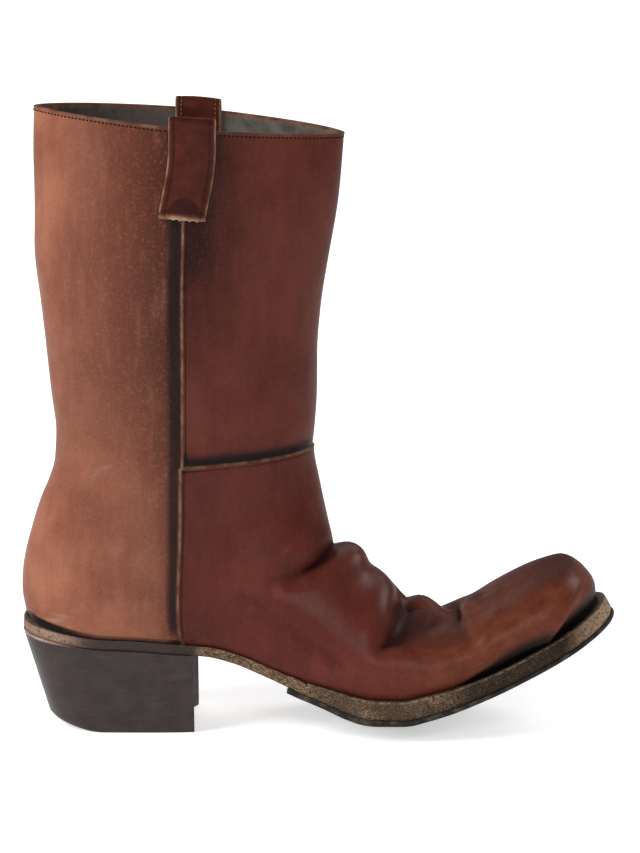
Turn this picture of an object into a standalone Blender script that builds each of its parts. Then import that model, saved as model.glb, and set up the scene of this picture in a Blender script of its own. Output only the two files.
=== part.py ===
"""A right leather pull-on boot: a hollow two-panel shaft with a vamp, a welted sole and an underslung heel.

The boot stands with its toe along +X, its lateral side along -Y and its shaft along +Z, in metres.
Every form is worked out from the sizes below and from short tables of shares of them: the sole from
its plan, its spring and its layers, the upper from slanted sections that run from the feather line
or the centre back to the centre front.
"""

import math

import bpy
import numpy as np
from mathutils import Vector
from mathutils.bvhtree import BVHTree

# Driving sizes
LENGTH = 0.308
BALL_WIDTH = 0.098
HEEL_WIDTH = 0.067
SEAT_HEIGHT = 0.0498
TOE_SPRING = 0.047
INSTEP = 0.100
SHAFT_HEIGHT = 0.3245
SHAFT_WIDTH = 0.077
COLLAR_DROP = 0.0133
COLLAR_FLARE = 0.0136
ANKLE_NIP = 0.018
SEAM_AT = 0.0841

# Walls and layers
WALL = 0.0020
PANEL_STEP = 0.0009
VAMP_STEP = 0.0008
BACK_SEAM_STEP = 0.0008
OUTSOLE_THICK = 0.0053
WELT_THICK = 0.0043
WELT_END_THICK = 0.0014
WELT_GROWTH = 0.031
WELT_THINS = 0.35
RUBBER_THICK = 0.0026
RUBBER_THINS = 0.30
INSOLE_THICK = 0.0025
CLEARANCE = 0.0003
INSOLE_PLAY = 0.0012
INSOLE_SHARE = 0.86
LIP = 0.0030
RIM_PLAY = 0.0005

# Sole and heel
CAMBER = 0.0095
CAMBER_FLAT = 0.30
CAMBER_EDGE = 0.85
TOE_LEDGE = 0.0035
HEEL_LEDGE = 0.0008
PLAN_END = 0.986
TOE_CAP = 0.766
TOE_POWER = 2.15
HEEL_CAP = 0.110
HEEL_POWER = 2.3
HEEL_PART = 0.25
BALL_PART = 0.60
LEDGE_GROWS = 0.42
THIN_FROM = 0.66
THIN_TO = 0.80
SWING = 0.008
SWING_START = 0.45
SWING_END = 1.25
SWING_LOW = 0.07
SWING_HIGH = 0.16
WELT_START = 0.149
HALF_SOLE_START = 0.141
HEEL_BREAST = 0.090
BREAST_HOLLOW = 0.007
HEEL_UNDERCUT = 0.015
HEEL_TAPER = 0.87
WEAR_RISE = 0.005
WEAR_FROM = 0.010
WEAR_TO = 0.044
TOP_PIECE_THICK = 0.0068

# Pull straps
STRAP_WIDTH = 0.0232
STRAP_THICK = 0.0026
STRAP_DROP = 0.0435
STRAP_INSIDE = 0.036
STRAP_RISE = 0.0020
STRAP_LEAN = 0.096
STRAP_OFFSET = 0.0070
EDGE_DROP = 0.0015
STRAP_PLAY = 0.0005


def columns(names, rows):
    """A table: each named column as an array, with a row for each section."""
    return dict(zip(names.split(), np.array(rows, float).T))


# Plan of the sole: half widths on both sides as shares of the local width.
PLAN = columns("along lateral medial", [
    (0.000, 0.500, 0.492),
    (0.146, 0.500, 0.492),
    (0.244, 0.492, 0.455),
    (0.315, 0.451, 0.380),
    (0.390, 0.411, 0.315),
    (0.455, 0.422, 0.324),
    (0.520, 0.458, 0.383),
    (0.584, 0.491, 0.440),
    (0.650, 0.510, 0.480),
    (0.714, 0.508, 0.494),
    (0.770, 0.495, 0.490),
])

# Side profile of the feather line: share of the seat's rise over the ball, and share of the spring.
PROFILE = columns("along seat spring camber", [
    (0.000, 1.237, 0.000, 0.00),
    (0.042, 1.186, 0.000, 0.00),
    (0.075, 1.128, 0.000, 0.00),
    (0.130, 1.036, 0.000, 0.00),
    (0.195, 1.000, 0.000, 0.00),
    (0.258, 0.938, 0.000, 0.00),
    (0.317, 0.883, 0.000, 0.00),
    (0.360, 0.760, 0.000, 0.08),
    (0.425, 0.489, 0.000, 0.25),
    (0.484, 0.270, 0.000, 0.55),
    (0.523, 0.172, 0.000, 0.80),
    (0.560, 0.070, 0.000, 0.95),
    (0.600, 0.000, 0.000, 1.00),
    (0.645, 0.000, 0.000, 1.00),
    (0.672, 0.000, 0.038, 0.98),
    (0.724, 0.000, 0.125, 0.85),
    (0.773, 0.000, 0.231, 0.66),
    (0.840, 0.000, 0.431, 0.36),
    (0.909, 0.000, 0.645, 0.10),
    (0.950, 0.000, 0.790, 0.00),
    (1.000, 0.000, 0.980, 0.00),
])

# Foot sections: where each starts on the feather line and ends on the centre front, its half widths
# as shares of the local width, how far up it is widest, and how square it is below and above.
FOOT = columns("start top rise lateral medial widest low high", [
    (0.915, 0.9665, 0.003, 0.400, 0.400, -2.10, 2.2, 2.15),
    (0.902, 0.9650, 0.063, 0.405, 0.405, -0.90, 2.2, 2.25),
    (0.883, 0.9480, 0.166, 0.410, 0.410, 0.05, 2.2, 2.40),
    (0.857, 0.9150, 0.263, 0.425, 0.420, 0.18, 2.2, 2.50),
    (0.818, 0.8670, 0.281, 0.448, 0.442, 0.26, 2.2, 2.45),
    (0.766, 0.8150, 0.270, 0.466, 0.456, 0.30, 2.2, 2.35),
    (0.708, 0.7690, 0.240, 0.476, 0.466, 0.32, 2.2, 2.25),
    (0.659, 0.7320, 0.245, 0.476, 0.462, 0.33, 2.2, 2.15),
    (0.601, 0.6890, 0.312, 0.468, 0.448, 0.33, 2.2, 2.10),
    (0.529, 0.6430, 0.389, 0.458, 0.432, 0.34, 2.2, 2.10),
    (0.455, 0.5960, 0.492, 0.457, 0.434, 0.36, 2.2, 2.10),
    (0.377, 0.5570, 0.570, 0.486, 0.466, 0.39, 2.2, 2.10),
    (0.299, 0.5280, 0.620, 0.522, 0.510, 0.41, 2.2, 2.10),
    (0.214, 0.5080, 0.712, 0.537, 0.530, 0.42, 2.2, 2.10),
    (0.130, 0.4950, 0.860, 0.537, 0.537, 0.42, 2.2, 2.05),
    (0.058, 0.4890, 0.950, 0.537, 0.537, 0.41, 2.2, 2.00),
    (0.000, 0.4870, 0.987, 0.537, 0.537, 0.40, 2.2, 2.00),
])

# Shaft sections: how far up the back and the front each lies, the back's nip, the front's flare, the
# half width as a share of the local width, how far along it is widest, and how square it is.
SHAFT = columns("up front nip flare half widest power", [
    (0.000, 0.000, 0.00, 0.00, 0.537, 0.40, 2.10),
    (0.043, 0.010, -0.07, -0.03, 0.540, 0.41, 2.10),
    (0.070, 0.020, -0.06, -0.06, 0.541, 0.42, 2.08),
    (0.108, 0.030, 0.02, -0.10, 0.540, 0.43, 2.05),
    (0.165, 0.045, 0.24, -0.14, 0.530, 0.44, 2.00),
    (0.220, 0.060, 0.50, -0.17, 0.518, 0.46, 2.00),
    (0.270, 0.078, 0.80, -0.18, 0.505, 0.48, 1.98),
    (0.303, 0.090, 0.92, -0.18, 0.500, 0.49, 1.95),
    (0.362, 0.135, 0.96, -0.12, 0.496, 0.50, 1.95),
    (0.430, 0.230, 0.86, -0.05, 0.496, 0.50, 1.92),
    (0.520, 0.360, 0.73, -0.03, 0.500, 0.50, 1.90),
    (0.620, 0.490, 0.58, 0.12, 0.502, 0.50, 1.85),
    (0.740, 0.640, 0.40, 0.40, 0.500, 0.50, 1.75),
    (0.870, 0.830, 0.40, 0.78, 0.490, 0.50, 1.62),
    (1.000, 1.000, 0.45, 1.00, 0.470, 0.50, 1.50),
])
VAMP_SEAM_UP = 0.303

# Folds of the worn vamp: the place on the centre front, the height (ridge) or depth (trough), how
# wide it is, how far down the side it is strongest and fades, and its share on the medial side.
FOLDS = columns("place height width side reach medial", [
    (0.526, -0.0040, 0.014, 0.16, 0.26, 0.8),
    (0.552, 0.0052, 0.020, 0.00, 0.30, 0.9),
    (0.598, 0.0020, 0.016, 0.05, 0.25, 0.8),
    (0.636, -0.0020, 0.014, 0.25, 0.25, 0.6),
    (0.672, 0.0018, 0.018, 0.00, 0.30, 0.9),
    (0.700, -0.0045, 0.015, 0.45, 0.20, 0.5),
    (0.740, -0.0045, 0.010, 0.00, 0.36, 0.9),
    (0.768, 0.0016, 0.016, 0.10, 0.35, 0.8),
])


def smoothstep(value, low, high):
    """0 below low, 1 above high and a soft S between."""
    share = np.clip((value - low) / (high - low), 0.0, 1.0)
    return share * share * (3.0 - 2.0 * share)


def soft_curve(at, knots, values):
    """A cubic through the knots that never overshoots: each slope is the harmonic mean of its sides'."""
    sides = np.diff(values) / np.diff(knots)
    product = sides[:-1] * sides[1:]
    total = sides[:-1] + sides[1:]
    inner = np.where(product > 0, 2.0 * product / np.where(total == 0, 1.0, total), 0.0)
    slopes = np.concatenate([sides[:1], inner, sides[-1:]])
    at = np.clip(at, knots[0], knots[-1])
    span = np.clip(np.searchsorted(knots, at, side="right") - 1, 0, len(knots) - 2)
    width = knots[span + 1] - knots[span]
    share = (at - knots[span]) / width
    hold = share * share * (3.0 - 2.0 * share)
    start = share * (1.0 - share) ** 2 * width * slopes[span]
    end = share * share * (share - 1.0) * width * slopes[span + 1]
    return values[span] * (1.0 - hold) + values[span + 1] * hold + start + end


def read(table, column, at):
    """A column of a table at places given as shares of its first column."""
    knots = next(iter(table.values()))
    if knots[0] > knots[-1]:
        return soft_curve(at, knots[::-1], table[column][::-1])
    return soft_curve(at, knots, table[column])


# The sole's surfaces


def local_width(x):
    """The named width that rules at x: the heel's at the back, the ball's at the front."""
    return HEEL_WIDTH + (BALL_WIDTH - HEEL_WIDTH) * smoothstep(x / LENGTH, HEEL_PART, BALL_PART)


def round_end(distance, depth, power):
    """Half width of a rounded end, as a share, at a distance in from its tip."""
    share = np.clip(1.0 - distance / depth, 0.0, 1.0)
    return (1.0 - share ** power) ** (1.0 / power)


def half_plan(x, side, inset=0.0, tip=0.0, back=0.0):
    """Half width of the plan at x, drawn in by inset at the sides, tip at the toe and back at the heel."""
    body = read(PLAN, side, x / LENGTH) * local_width(x) - inset
    toe = LENGTH * PLAN_END - tip
    toe_depth = toe - TOE_CAP * LENGTH
    heel_depth = HEEL_CAP * LENGTH
    return body * round_end(toe - x, toe_depth, TOE_POWER) * round_end(x - back, heel_depth, HEEL_POWER)


def ledge(x):
    """How far the sole stands out past the upper."""
    return HEEL_LEDGE + (TOE_LEDGE - HEEL_LEDGE) * smoothstep(x / LENGTH, LEDGE_GROWS, BALL_PART)


def wall_at_feather(x):
    """The upper's wall on the feather line."""
    return WALL + PANEL_STEP * smoothstep(x, SEAM_AT - 0.001, SEAM_AT)


def feather(x, side):
    """Half width of the upper's inner face on the feather line."""
    wall = wall_at_feather(x)
    tip = TOE_LEDGE + WALL + PANEL_STEP
    return half_plan(x, side, ledge(x) + wall, tip, HEEL_LEDGE + WALL)


def feather_height(x):
    """Height of the sole's upper face along its edge."""
    ball = CAMBER + RUBBER_THICK + OUTSOLE_THICK + WELT_THICK + 2.0 * CLEARANCE
    seat = read(PROFILE, "seat", x / LENGTH) * (SEAT_HEIGHT - ball)
    return ball + seat + read(PROFILE, "spring", x / LENGTH) * TOE_SPRING


def sole_tilt(x):
    """Angle of the feather line at x, positive where it climbs towards the toe."""
    step = 0.0005
    return np.arctan((feather_height(x + step) - feather_height(x - step)) / (2.0 * step))


def swing(x):
    """Sideways turn of the foot's line towards the medial side at the toe."""
    return SWING * smoothstep(x / LENGTH, SWING_START, SWING_END)


def sole_point(x, across, half, depth):
    """A point of the sole: across is the share of the half width, depth is measured below its top face."""
    tilt = sole_tilt(x)
    edge = smoothstep(np.abs(across), CAMBER_FLAT, CAMBER_EDGE)
    dip = CAMBER * read(PROFILE, "camber", x / LENGTH) * (1.0 - edge)
    y = swing(x) + across * half
    z = feather_height(x) - dip
    return np.stack([x + depth * np.sin(tilt), y, z - depth * np.cos(tilt)], axis=-1)


ACROSS = np.array([-1.0, -0.85, -0.58, -0.30, 0.0, 0.30, 0.58, 0.85, 1.0])
STATIONS = 30
TIP_FACE = 0.0004
WELT_RAMP = 0.003
SINK_BEFORE = 0.022
SINK_AFTER = 0.010
MARK_SPACE = 0.003
FLAT_START = 0.600
FLAT_END = 0.645


def stations(start, end):
    """Places along the sole that all its layers share, closer together towards heel and toe."""
    share = np.linspace(0.0, 1.0, STATIONS)
    share = (share + (1.0 - np.cos(math.pi * share)) / 2.0) / 2.0
    even = TIP_FACE + (LENGTH * PLAN_END - 2.0 * TIP_FACE) * share
    marks = np.array([WELT_START - WELT_RAMP, WELT_START - CLEARANCE, WELT_START, HALF_SOLE_START,
                      FLAT_START * LENGTH, FLAT_END * LENGTH, start, end])
    far = np.abs(even[:, None] - marks[None, :]).min(axis=1) > MARK_SPACE
    places = np.sort(np.concatenate([even[far], marks]))
    places = places[np.concatenate([[True], np.diff(places) > 1e-6])]
    return places[(places >= start) & (places <= end)]


def across_sole(places):
    """Grid of (x, across, half width) over the plan at the given places."""
    x = places[:, None] + 0.0 * ACROSS[None, :]
    across = ACROSS[None, :] + 0.0 * x
    return x, across, np.where(across < 0, half_plan(x, "lateral"), half_plan(x, "medial"))


def slab(name, top, bottom, finish):
    """A closed solid between two grids of points that have the same rows and columns."""
    rows, cols = top.shape[:2]
    count = rows * cols
    index = np.arange(count).reshape(rows, cols)
    quads = np.stack([index[:-1, :-1], index[1:, :-1], index[1:, 1:], index[:-1, 1:]], axis=-1)
    faces = quads.reshape(-1, 4).tolist()
    faces += (quads.reshape(-1, 4)[:, [0, 3, 2, 1]] + count).tolist()
    rim = np.concatenate([index[:-1, 0], index[-1, :-1], index[:0:-1, -1], index[0, :0:-1]])
    ahead = np.roll(rim, -1)
    faces += np.stack([rim, rim + count, ahead + count, ahead], axis=-1).tolist()
    points = np.concatenate([top.reshape(-1, 3), bottom.reshape(-1, 3)])
    return mesh_object(name, points, faces, finish)


# Scene, materials and mesh objects


def clear_scene():
    for item in list(bpy.data.objects):
        bpy.data.objects.remove(item, do_unlink=True)
    boot = bpy.data.collections.new("leather_boot")
    bpy.context.scene.collection.children.link(boot)
    return boot


def material(name, colour, roughness):
    made = bpy.data.materials.new(name)
    made.use_nodes = True
    shader = made.node_tree.nodes["Principled BSDF"]
    shader.inputs["Base Color"].default_value = (*colour, 1.0)
    shader.inputs["Roughness"].default_value = roughness
    shader.inputs["Metallic"].default_value = 0.0
    return made


def mesh_object(name, points, faces, finish):
    mesh = bpy.data.meshes.new(name)
    mesh.from_pydata(points.tolist(), [], faces)
    mesh.update()
    mesh.shade_smooth()
    mesh.set_sharp_from_angle(angle=math.radians(38.0))
    mesh.materials.append(finish)
    made = bpy.data.objects.new(name, mesh)
    BOOT.objects.link(made)
    return made


# The upper

SEAM_NEAR = 0.0012
HEEL_ROWS_FROM = 0.235
HEEL_ROWS_GATHER = 1.7
LAP_ROWS = 0.006
ABOVE_LAP = 0.030
SHAFT_WIDENS = 0.35


def foot_rows():
    """Places on the feather line where foot sections start, from the toe's rim to the heel's back."""
    toe_side = LENGTH * np.array([0.915, 0.902, 0.889, 0.873, 0.854, 0.831, 0.803, 0.771, 0.740])
    vamp = np.linspace(0.712, 0.400, 14) * LENGTH
    waist = np.array([0.360 * LENGTH, 0.310 * LENGTH, SEAM_AT + SEAM_NEAR, SEAM_AT - SEAM_NEAR])
    heel_back = HEEL_LEDGE + WALL
    turn = np.linspace(1.0, 0.0, 8)[:-1] ** HEEL_ROWS_GATHER
    heel = heel_back + (HEEL_ROWS_FROM * LENGTH - heel_back) * turn
    return np.concatenate([toe_side, vamp, waist, heel])


def lifted(x):
    """The top of the lip that stands square on the sole where the feather line is at x."""
    tilt = sole_tilt(x)
    return x - LIP * np.sin(tilt), feather_height(x) + RIM_PLAY + LIP * np.cos(tilt)


def section_ends():
    """Ends and shape of every section, from the toe's rim back to the heel and up to the collar."""
    start = foot_rows()
    share = start / LENGTH
    top_x = read(FOOT, "top", share) * LENGTH
    scale = local_width(start)
    start_x, start_z = lifted(start)
    front_x, front_z = lifted(top_x)
    foot = {
        "x0": start_x,
        "z0": start_z,
        "x1": front_x,
        "z1": front_z + read(FOOT, "rise", share) * INSTEP,
        "f_lateral": feather(start, "lateral"),
        "f_medial": feather(start, "medial"),
        "lateral": read(FOOT, "lateral", share) * scale,
        "medial": read(FOOT, "medial", share) * scale,
        "widest": read(FOOT, "widest", share),
        "low": read(FOOT, "low", share),
        "high": read(FOOT, "high", share),
    }
    below = np.linspace(0.0, VAMP_SEAM_UP - LAP_ROWS, 9)
    above = np.linspace(VAMP_SEAM_UP + ABOVE_LAP, 1.0, 10)
    up = np.concatenate([below, [VAMP_SEAM_UP, VAMP_SEAM_UP + LAP_ROWS], above])
    back_x, back_z = lifted(HEEL_LEDGE + WALL)
    ankle_x, ankle_z = lifted(FOOT["top"][-1] * LENGTH)
    ankle_z = ankle_z + FOOT["rise"][-1] * INSTEP
    front_z = SHAFT_HEIGHT - COLLAR_DROP
    width = HEEL_WIDTH + (SHAFT_WIDTH - HEEL_WIDTH) * smoothstep(up, 0.0, SHAFT_WIDENS)
    power = read(SHAFT, "power", up)
    shaft = {
        "x0": back_x + read(SHAFT, "nip", up) * ANKLE_NIP,
        "z0": back_z + up * (SHAFT_HEIGHT - back_z),
        "x1": ankle_x + read(SHAFT, "flare", up) * COLLAR_FLARE,
        "z1": ankle_z + read(SHAFT, "front", up) * (front_z - ankle_z),
        "f_lateral": 0.0 * up,
        "f_medial": 0.0 * up,
        "lateral": read(SHAFT, "half", up) * width,
        "medial": read(SHAFT, "half", up) * width,
        "widest": read(SHAFT, "widest", up),
        "low": power,
        "high": power,
    }
    ends = {key: np.concatenate([foot[key], shaft[key]]) for key in foot}
    ends["up"] = np.concatenate([np.full(len(start), -1.0), up])
    return ends


def half_section(share, start_half, widest_half, widest, low, high):
    """Half width along a section: an oval cut off by the sole below, and a rounder or squarer top."""
    if widest <= 0.0:
        rise = (share - widest) / (1.0 - widest)
        first = -widest / (1.0 - widest)
        level = (1.0 - first ** high) ** (1.0 / high)
        return start_half * (1.0 - rise ** high) ** (1.0 / high) / level
    full = max(widest_half, start_half * 1.001)
    cut = (1.0 - (start_half / full) ** low) ** (-1.0 / low) - 1.0
    lower = np.clip((widest - share) / widest, 0.0, 1.0) / (1.0 + cut)
    upper = np.clip((share - widest) / (1.0 - widest), 0.0, 1.0)
    below = full * (1.0 - lower ** low) ** (1.0 / low)
    above = full * (1.0 - upper ** high) ** (1.0 / high)
    return np.where(share < widest, below, above)


BACK_COLUMNS = 6
FRONT_COLUMNS = 9
SEAM_HALF = 0.0006
LEAST_SHARE = 0.02
SHARE_GROWTH = 0.13
SHARE_RUN = 0.05
FIRST_COLUMN = 0.0024


def side_section(ends, row, side):
    """Points of one side of a section, from its start to the centre front."""
    length = math.hypot(ends["x1"][row] - ends["x0"][row], ends["z1"][row] - ends["z0"][row])
    share = (1.0 - np.cos(math.pi * np.linspace(0.0, 1.0, 400))) / 2.0
    half = half_section(share, ends["f_" + side][row], ends[side][row],
                        ends["widest"][row], ends["low"][row], ends["high"][row])
    along = np.concatenate([[0.0], np.cumsum(np.hypot(np.diff(share) * length, np.diff(half)))])
    run = ends["x1"][row] - ends["x0"][row]
    seam_share = (SEAM_AT - ends["x0"][row]) / run
    if ends["up"][row] < 0 and seam_share < LEAST_SHARE:
        grown = smoothstep(ends["x0"][row], SEAM_AT, SEAM_AT + SHARE_RUN)
        seam_share = LEAST_SHARE + SHARE_GROWTH * grown
    seam = np.interp(seam_share, share, along)
    before = max(seam - SEAM_HALF, 0.6 * seam)
    first = min(FIRST_COLUMN, before / BACK_COLUMNS)
    back = first + (before - first) * np.linspace(0.0, 1.0, BACK_COLUMNS)
    after = seam + (seam - before)
    front = after + (along[-1] - after) * np.linspace(0.0, 1.0, FRONT_COLUMNS + 1)
    places = np.concatenate([[0.0], back, front])
    share = np.interp(places, along, share)
    half = np.interp(places, along, half)
    half[-1] = 0.0
    x = ends["x0"][row] + share * run
    z = ends["z0"][row] + share * (ends["z1"][row] - ends["z0"][row])
    if row == 0:
        z = lifted(x + LIP * np.sin(sole_tilt(x)))[1]
    sign = -1.0 if side == "lateral" else 1.0
    return np.stack([x, sign * half + swing(x) * smoothstep(-z, -SWING_HIGH, -SWING_LOW), z], axis=-1)


def last_grid(ends):
    """The inner face of the upper: rows are sections, columns run lateral, over the front, medial."""
    rows = []
    for row in range(len(ends["x0"])):
        lateral = side_section(ends, row, "lateral")
        medial = side_section(ends, row, "medial")
        rows.append(np.concatenate([lateral, medial[-2::-1]]))
    return eased(np.array(rows), np.count_nonzero(ends["up"] < 0))


EASE_ROWS = 5.0
EASE_COLUMNS = 3.0
EASE_TIMES = 5


def eased(grid, junction):
    """Evens the rows out where the foot's sections meet the shaft's, away from their ends."""
    count = grid.shape[1]
    from_end = np.minimum(np.arange(count), count - 1 - np.arange(count))
    off_junction = np.abs(np.arange(len(grid)) - junction)
    across = smoothstep(from_end, 0.0, EASE_COLUMNS)
    along = smoothstep(-off_junction, -EASE_ROWS, -1.0)
    weight = across[None, :] * along[:, None]
    for _ in range(EASE_TIMES):
        middle = (grid[:-2] + grid[2:]) / 2.0
        grid[1:-1] += 0.5 * weight[1:-1, :, None] * (middle - grid[1:-1])
    return grid


def grid_normals(grid):
    """Unit normals of a grid of points, facing out of the boot."""
    down = np.gradient(grid, axis=0)
    round_it = np.gradient(grid, axis=1)
    normal = np.cross(round_it, down)
    return normal / np.maximum(np.linalg.norm(normal, axis=-1, keepdims=True), 1e-12)


def fold_heights(ends, grid):
    """Ridges and troughs of the vamp: soft bumps across the sections, fading down the sides."""
    place = ends["x1"] / LENGTH
    count = grid.shape[1]
    aside = np.abs(np.arange(count) - (count - 1) / 2.0) / FRONT_COLUMNS
    is_medial = np.arange(count) > (count - 1) / 2.0
    height = np.zeros(grid.shape[:2])
    for fold in range(len(FOLDS["place"])):
        over = np.exp(-((place - FOLDS["place"][fold]) / FOLDS["width"][fold]) ** 2)
        over = over * (ends["up"] < FOLDS_END)
        fade = np.exp(-((aside - FOLDS["side"][fold]) / FOLDS["reach"][fold]) ** 2)
        fade = fade * np.where(is_medial, FOLDS["medial"][fold], 1.0)
        height += FOLDS["height"][fold] * over[:, None] * fade[None, :]
    return height


STEP_FADES = 0.55
STEP_ENDS = 0.80
BACK_SEAM_FROM = 0.06
FOLDS_END = 0.05


def wall_thickness(ends, shape):
    """Wall of the upper: the front panel laps the back one, and the vamp laps the front panel."""
    count = shape[1]
    from_end = np.minimum(np.arange(count), count - 1 - np.arange(count))
    in_front = from_end[None, :] > BACK_COLUMNS
    on_foot = (ends["up"] < 0)[:, None]
    past_seam = (ends["x0"] > SEAM_AT)[:, None]
    panel = in_front | (on_foot & past_seam)
    vamp = panel & (ends["up"] < VAMP_SEAM_UP - 0.001)[:, None]
    fade = np.where(on_foot, smoothstep(ends["x1"] / LENGTH, STEP_ENDS, STEP_FADES)[:, None], 1.0)
    at_back = (from_end == 0)[None, :] & (ends["up"] > BACK_SEAM_FROM)[:, None]
    return WALL + PANEL_STEP * panel + VAMP_STEP * vamp * fade + BACK_SEAM_STEP * at_back


def make_upper(finish):
    """One hollow wall, open at the collar and underneath, made as an open face with a Solidify."""
    ends = section_ends()
    grid = last_grid(ends)
    grid = grid + grid_normals(grid) * fold_heights(ends, grid)[:, :, None]
    thick = wall_thickness(ends, grid.shape)
    grid = np.pad(grid, ((1, 0), (1, 1), (0, 0)), mode="edge")
    thick = np.pad(thick, ((1, 0), (1, 1)), mode="edge")
    rows, cols = grid.shape[:2]
    index = np.arange(rows * cols).reshape(rows, cols)
    closed = np.concatenate([[False], ends["up"] >= 0])
    seat_row = int(np.argmax(closed))
    rim = np.concatenate([index[:seat_row + 1, 0], index[0], index[:seat_row + 1, -1]])
    points = grid.reshape(-1, 3)
    tilt = sole_tilt(points[rim, 0])
    points[rim, 0] += LIP * np.sin(tilt)
    points[rim, 2] -= LIP * np.cos(tilt)
    index[closed, -2] = index[closed, 1]
    index[seat_row, -1] = index[seat_row, 0]
    index[seat_row + 1:, 0] = index[seat_row + 1:, 1]
    index[seat_row + 1:, -1] = index[seat_row + 1:, 1]
    quads = np.stack([index[:-1, :-1], index[:-1, 1:], index[1:, 1:], index[1:, :-1]], axis=-1)
    quads[:, cols // 2:] = np.roll(quads[:, cols // 2:], -1, axis=-1)
    used, faces = np.unique(quads, return_inverse=True)
    faces = [list(dict.fromkeys(face)) for face in faces.reshape(-1, 4).tolist()]
    faces = [face for face in faces if len(face) > 2]
    points = points[used]
    upper = mesh_object("upper", points, faces, finish)
    most = float(thick.max())
    group = upper.vertex_groups.new(name="wall")
    for vertex, value in enumerate(thick.reshape(-1)[used]):
        group.add([vertex], float(value) / most, "REPLACE")
    shell = upper.modifiers.new("wall", "SOLIDIFY")
    shell.thickness = most
    shell.offset = 1.0
    shell.vertex_group = group.name
    shell.thickness_vertex_group = 0.0
    return upper


# The sole and heel


def welt_depth(x):
    """Thickness of the welt at x: thin where it starts in the waist, and thinner again at the toe."""
    grown = smoothstep(x, WELT_START, WELT_START + WELT_GROWTH)
    toe = smoothstep(x / LENGTH, THIN_FROM, THIN_TO)
    full = WELT_THICK * (1.0 - WELT_THINS * toe)
    return WELT_END_THICK + (full - WELT_END_THICK) * grown


def outsole_top(x):
    """Depth of the outsole's upper face: flush at heel and waist, and under the welt in front."""
    below = welt_depth(x) + CLEARANCE
    return below * smoothstep(x, WELT_START - WELT_RAMP, WELT_START - CLEARANCE)


def outsole_bottom(x):
    """Depth of the outsole's lower face, which sinks gently as the welt comes in above it."""
    below = welt_depth(x) + CLEARANCE
    return OUTSOLE_THICK + below * smoothstep(x, WELT_START - SINK_BEFORE, WELT_START + SINK_AFTER)


def make_outsole(finish):
    x, across, half = across_sole(stations(TIP_FACE, LENGTH * PLAN_END - TIP_FACE))
    top = sole_point(x, across, half, outsole_top(x))
    bottom = sole_point(x, across, half, outsole_bottom(x))
    return slab("outsole", top, bottom, finish)


def make_half_sole(finish):
    """The rubber under the forefoot, with a true flat where the ball stands."""
    x, across, half = across_sole(stations(HALF_SOLE_START, LENGTH * PLAN_END - TIP_FACE))
    above = outsole_bottom(x) + CLEARANCE
    thick = RUBBER_THICK * (1.0 - RUBBER_THINS * smoothstep(x / LENGTH, THIN_FROM, THIN_TO))
    top = sole_point(x, across, half, above)
    bottom = sole_point(x, across, half, above + thick)
    bottom[..., 2] = np.maximum(bottom[..., 2], 0.0)
    return slab("half_sole", top, bottom, finish)


def make_welt(finish):
    """The strip of leather round the forefoot that the upper is sewn to."""
    toe = LENGTH * PLAN_END
    inner_toe = toe - TOE_LEDGE - WALL - PANEL_STEP
    side = stations(WELT_START, TOE_CAP * LENGTH)
    turn = np.sin(np.linspace(0.0, math.pi / 2.0, 13)[1:-1]) ** (2.0 / TOE_POWER)
    outer = np.concatenate([side, side[-1] + (toe - side[-1]) * turn])
    inner = np.concatenate([side, side[-1] + (inner_toe - side[-1]) * turn])
    strips = []
    for name, sign in (("lateral", -1.0), ("medial", 1.0)):
        outer_half = half_plan(outer, name)
        inner_half = feather(inner, name)
        x = np.stack([outer, inner], axis=-1)
        half = np.stack([outer_half, inner_half], axis=-1)
        strips.append((x, sign * half))
    tip = (np.array([[toe, inner_toe]]), np.zeros((1, 2)))
    x = np.concatenate([strips[0][0], tip[0], strips[1][0][::-1]])
    y = np.concatenate([strips[0][1], tip[1], strips[1][1][::-1]])
    level = np.ones_like(y)
    top = sole_point(x, level, y, 0.0)
    bottom = sole_point(x, level, y, welt_depth(x))
    return slab("welt", top, bottom, finish)


def make_insole(finish):
    """The board that the foot stands on, with the filler that levels it inside the welt."""
    tip = TOE_LEDGE + WALL + PANEL_STEP + INSOLE_PLAY
    back = HEEL_LEDGE + WALL + INSOLE_PLAY
    places = stations(back + TIP_FACE, LENGTH * PLAN_END - tip - TIP_FACE)
    x = places[:, None] + 0.0 * ACROSS[None, :]
    across = ACROSS[None, :] + 0.0 * x
    inset = ledge(x) + wall_at_feather(x) + INSOLE_PLAY
    lateral = half_plan(x, "lateral", inset, tip, back)
    medial = half_plan(x, "medial", inset, tip, back)
    half = np.where(across < 0, lateral, medial)
    full = np.where(across < 0, half_plan(x, "lateral"), half_plan(x, "medial"))
    share = half / full
    reach = np.where(np.abs(across) == 1.0, across * share, across * np.minimum(1.0, share / INSOLE_SHARE))
    top = sole_point(x, reach, full, -CLEARANCE - INSOLE_THICK + 0.0 * x)
    bottom = sole_point(x, reach, full, outsole_top(x) - CLEARANCE)
    return slab("insole", top, bottom, finish)


HEEL_ROWS_BACK = 1.6
HEEL_BACK_FACE = 0.0006


def heel_plan(z, top_z):
    """The heel's plan at height z: it is undercut at the back and tapers in at the sides."""
    drop = np.clip(1.0 - z / top_z, 0.0, 1.0)
    rows = np.linspace(0.0, 1.0, 9) ** HEEL_ROWS_BACK
    hollow = BREAST_HOLLOW * (1.0 - ACROSS[None, :] ** 2)
    seat_x = HEEL_BACK_FACE + rows[:, None] * (HEEL_BREAST - hollow - HEEL_BACK_FACE)
    lateral = half_plan(seat_x, "lateral")
    medial = half_plan(seat_x, "medial")
    half = np.where(ACROSS[None, :] < 0, lateral, medial)
    back = HEEL_UNDERCUT * drop * (1.0 - seat_x / HEEL_BREAST)
    taper = 1.0 - (1.0 - HEEL_TAPER) * drop
    return seat_x, seat_x + back, ACROSS[None, :] * half * taper, half


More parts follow.
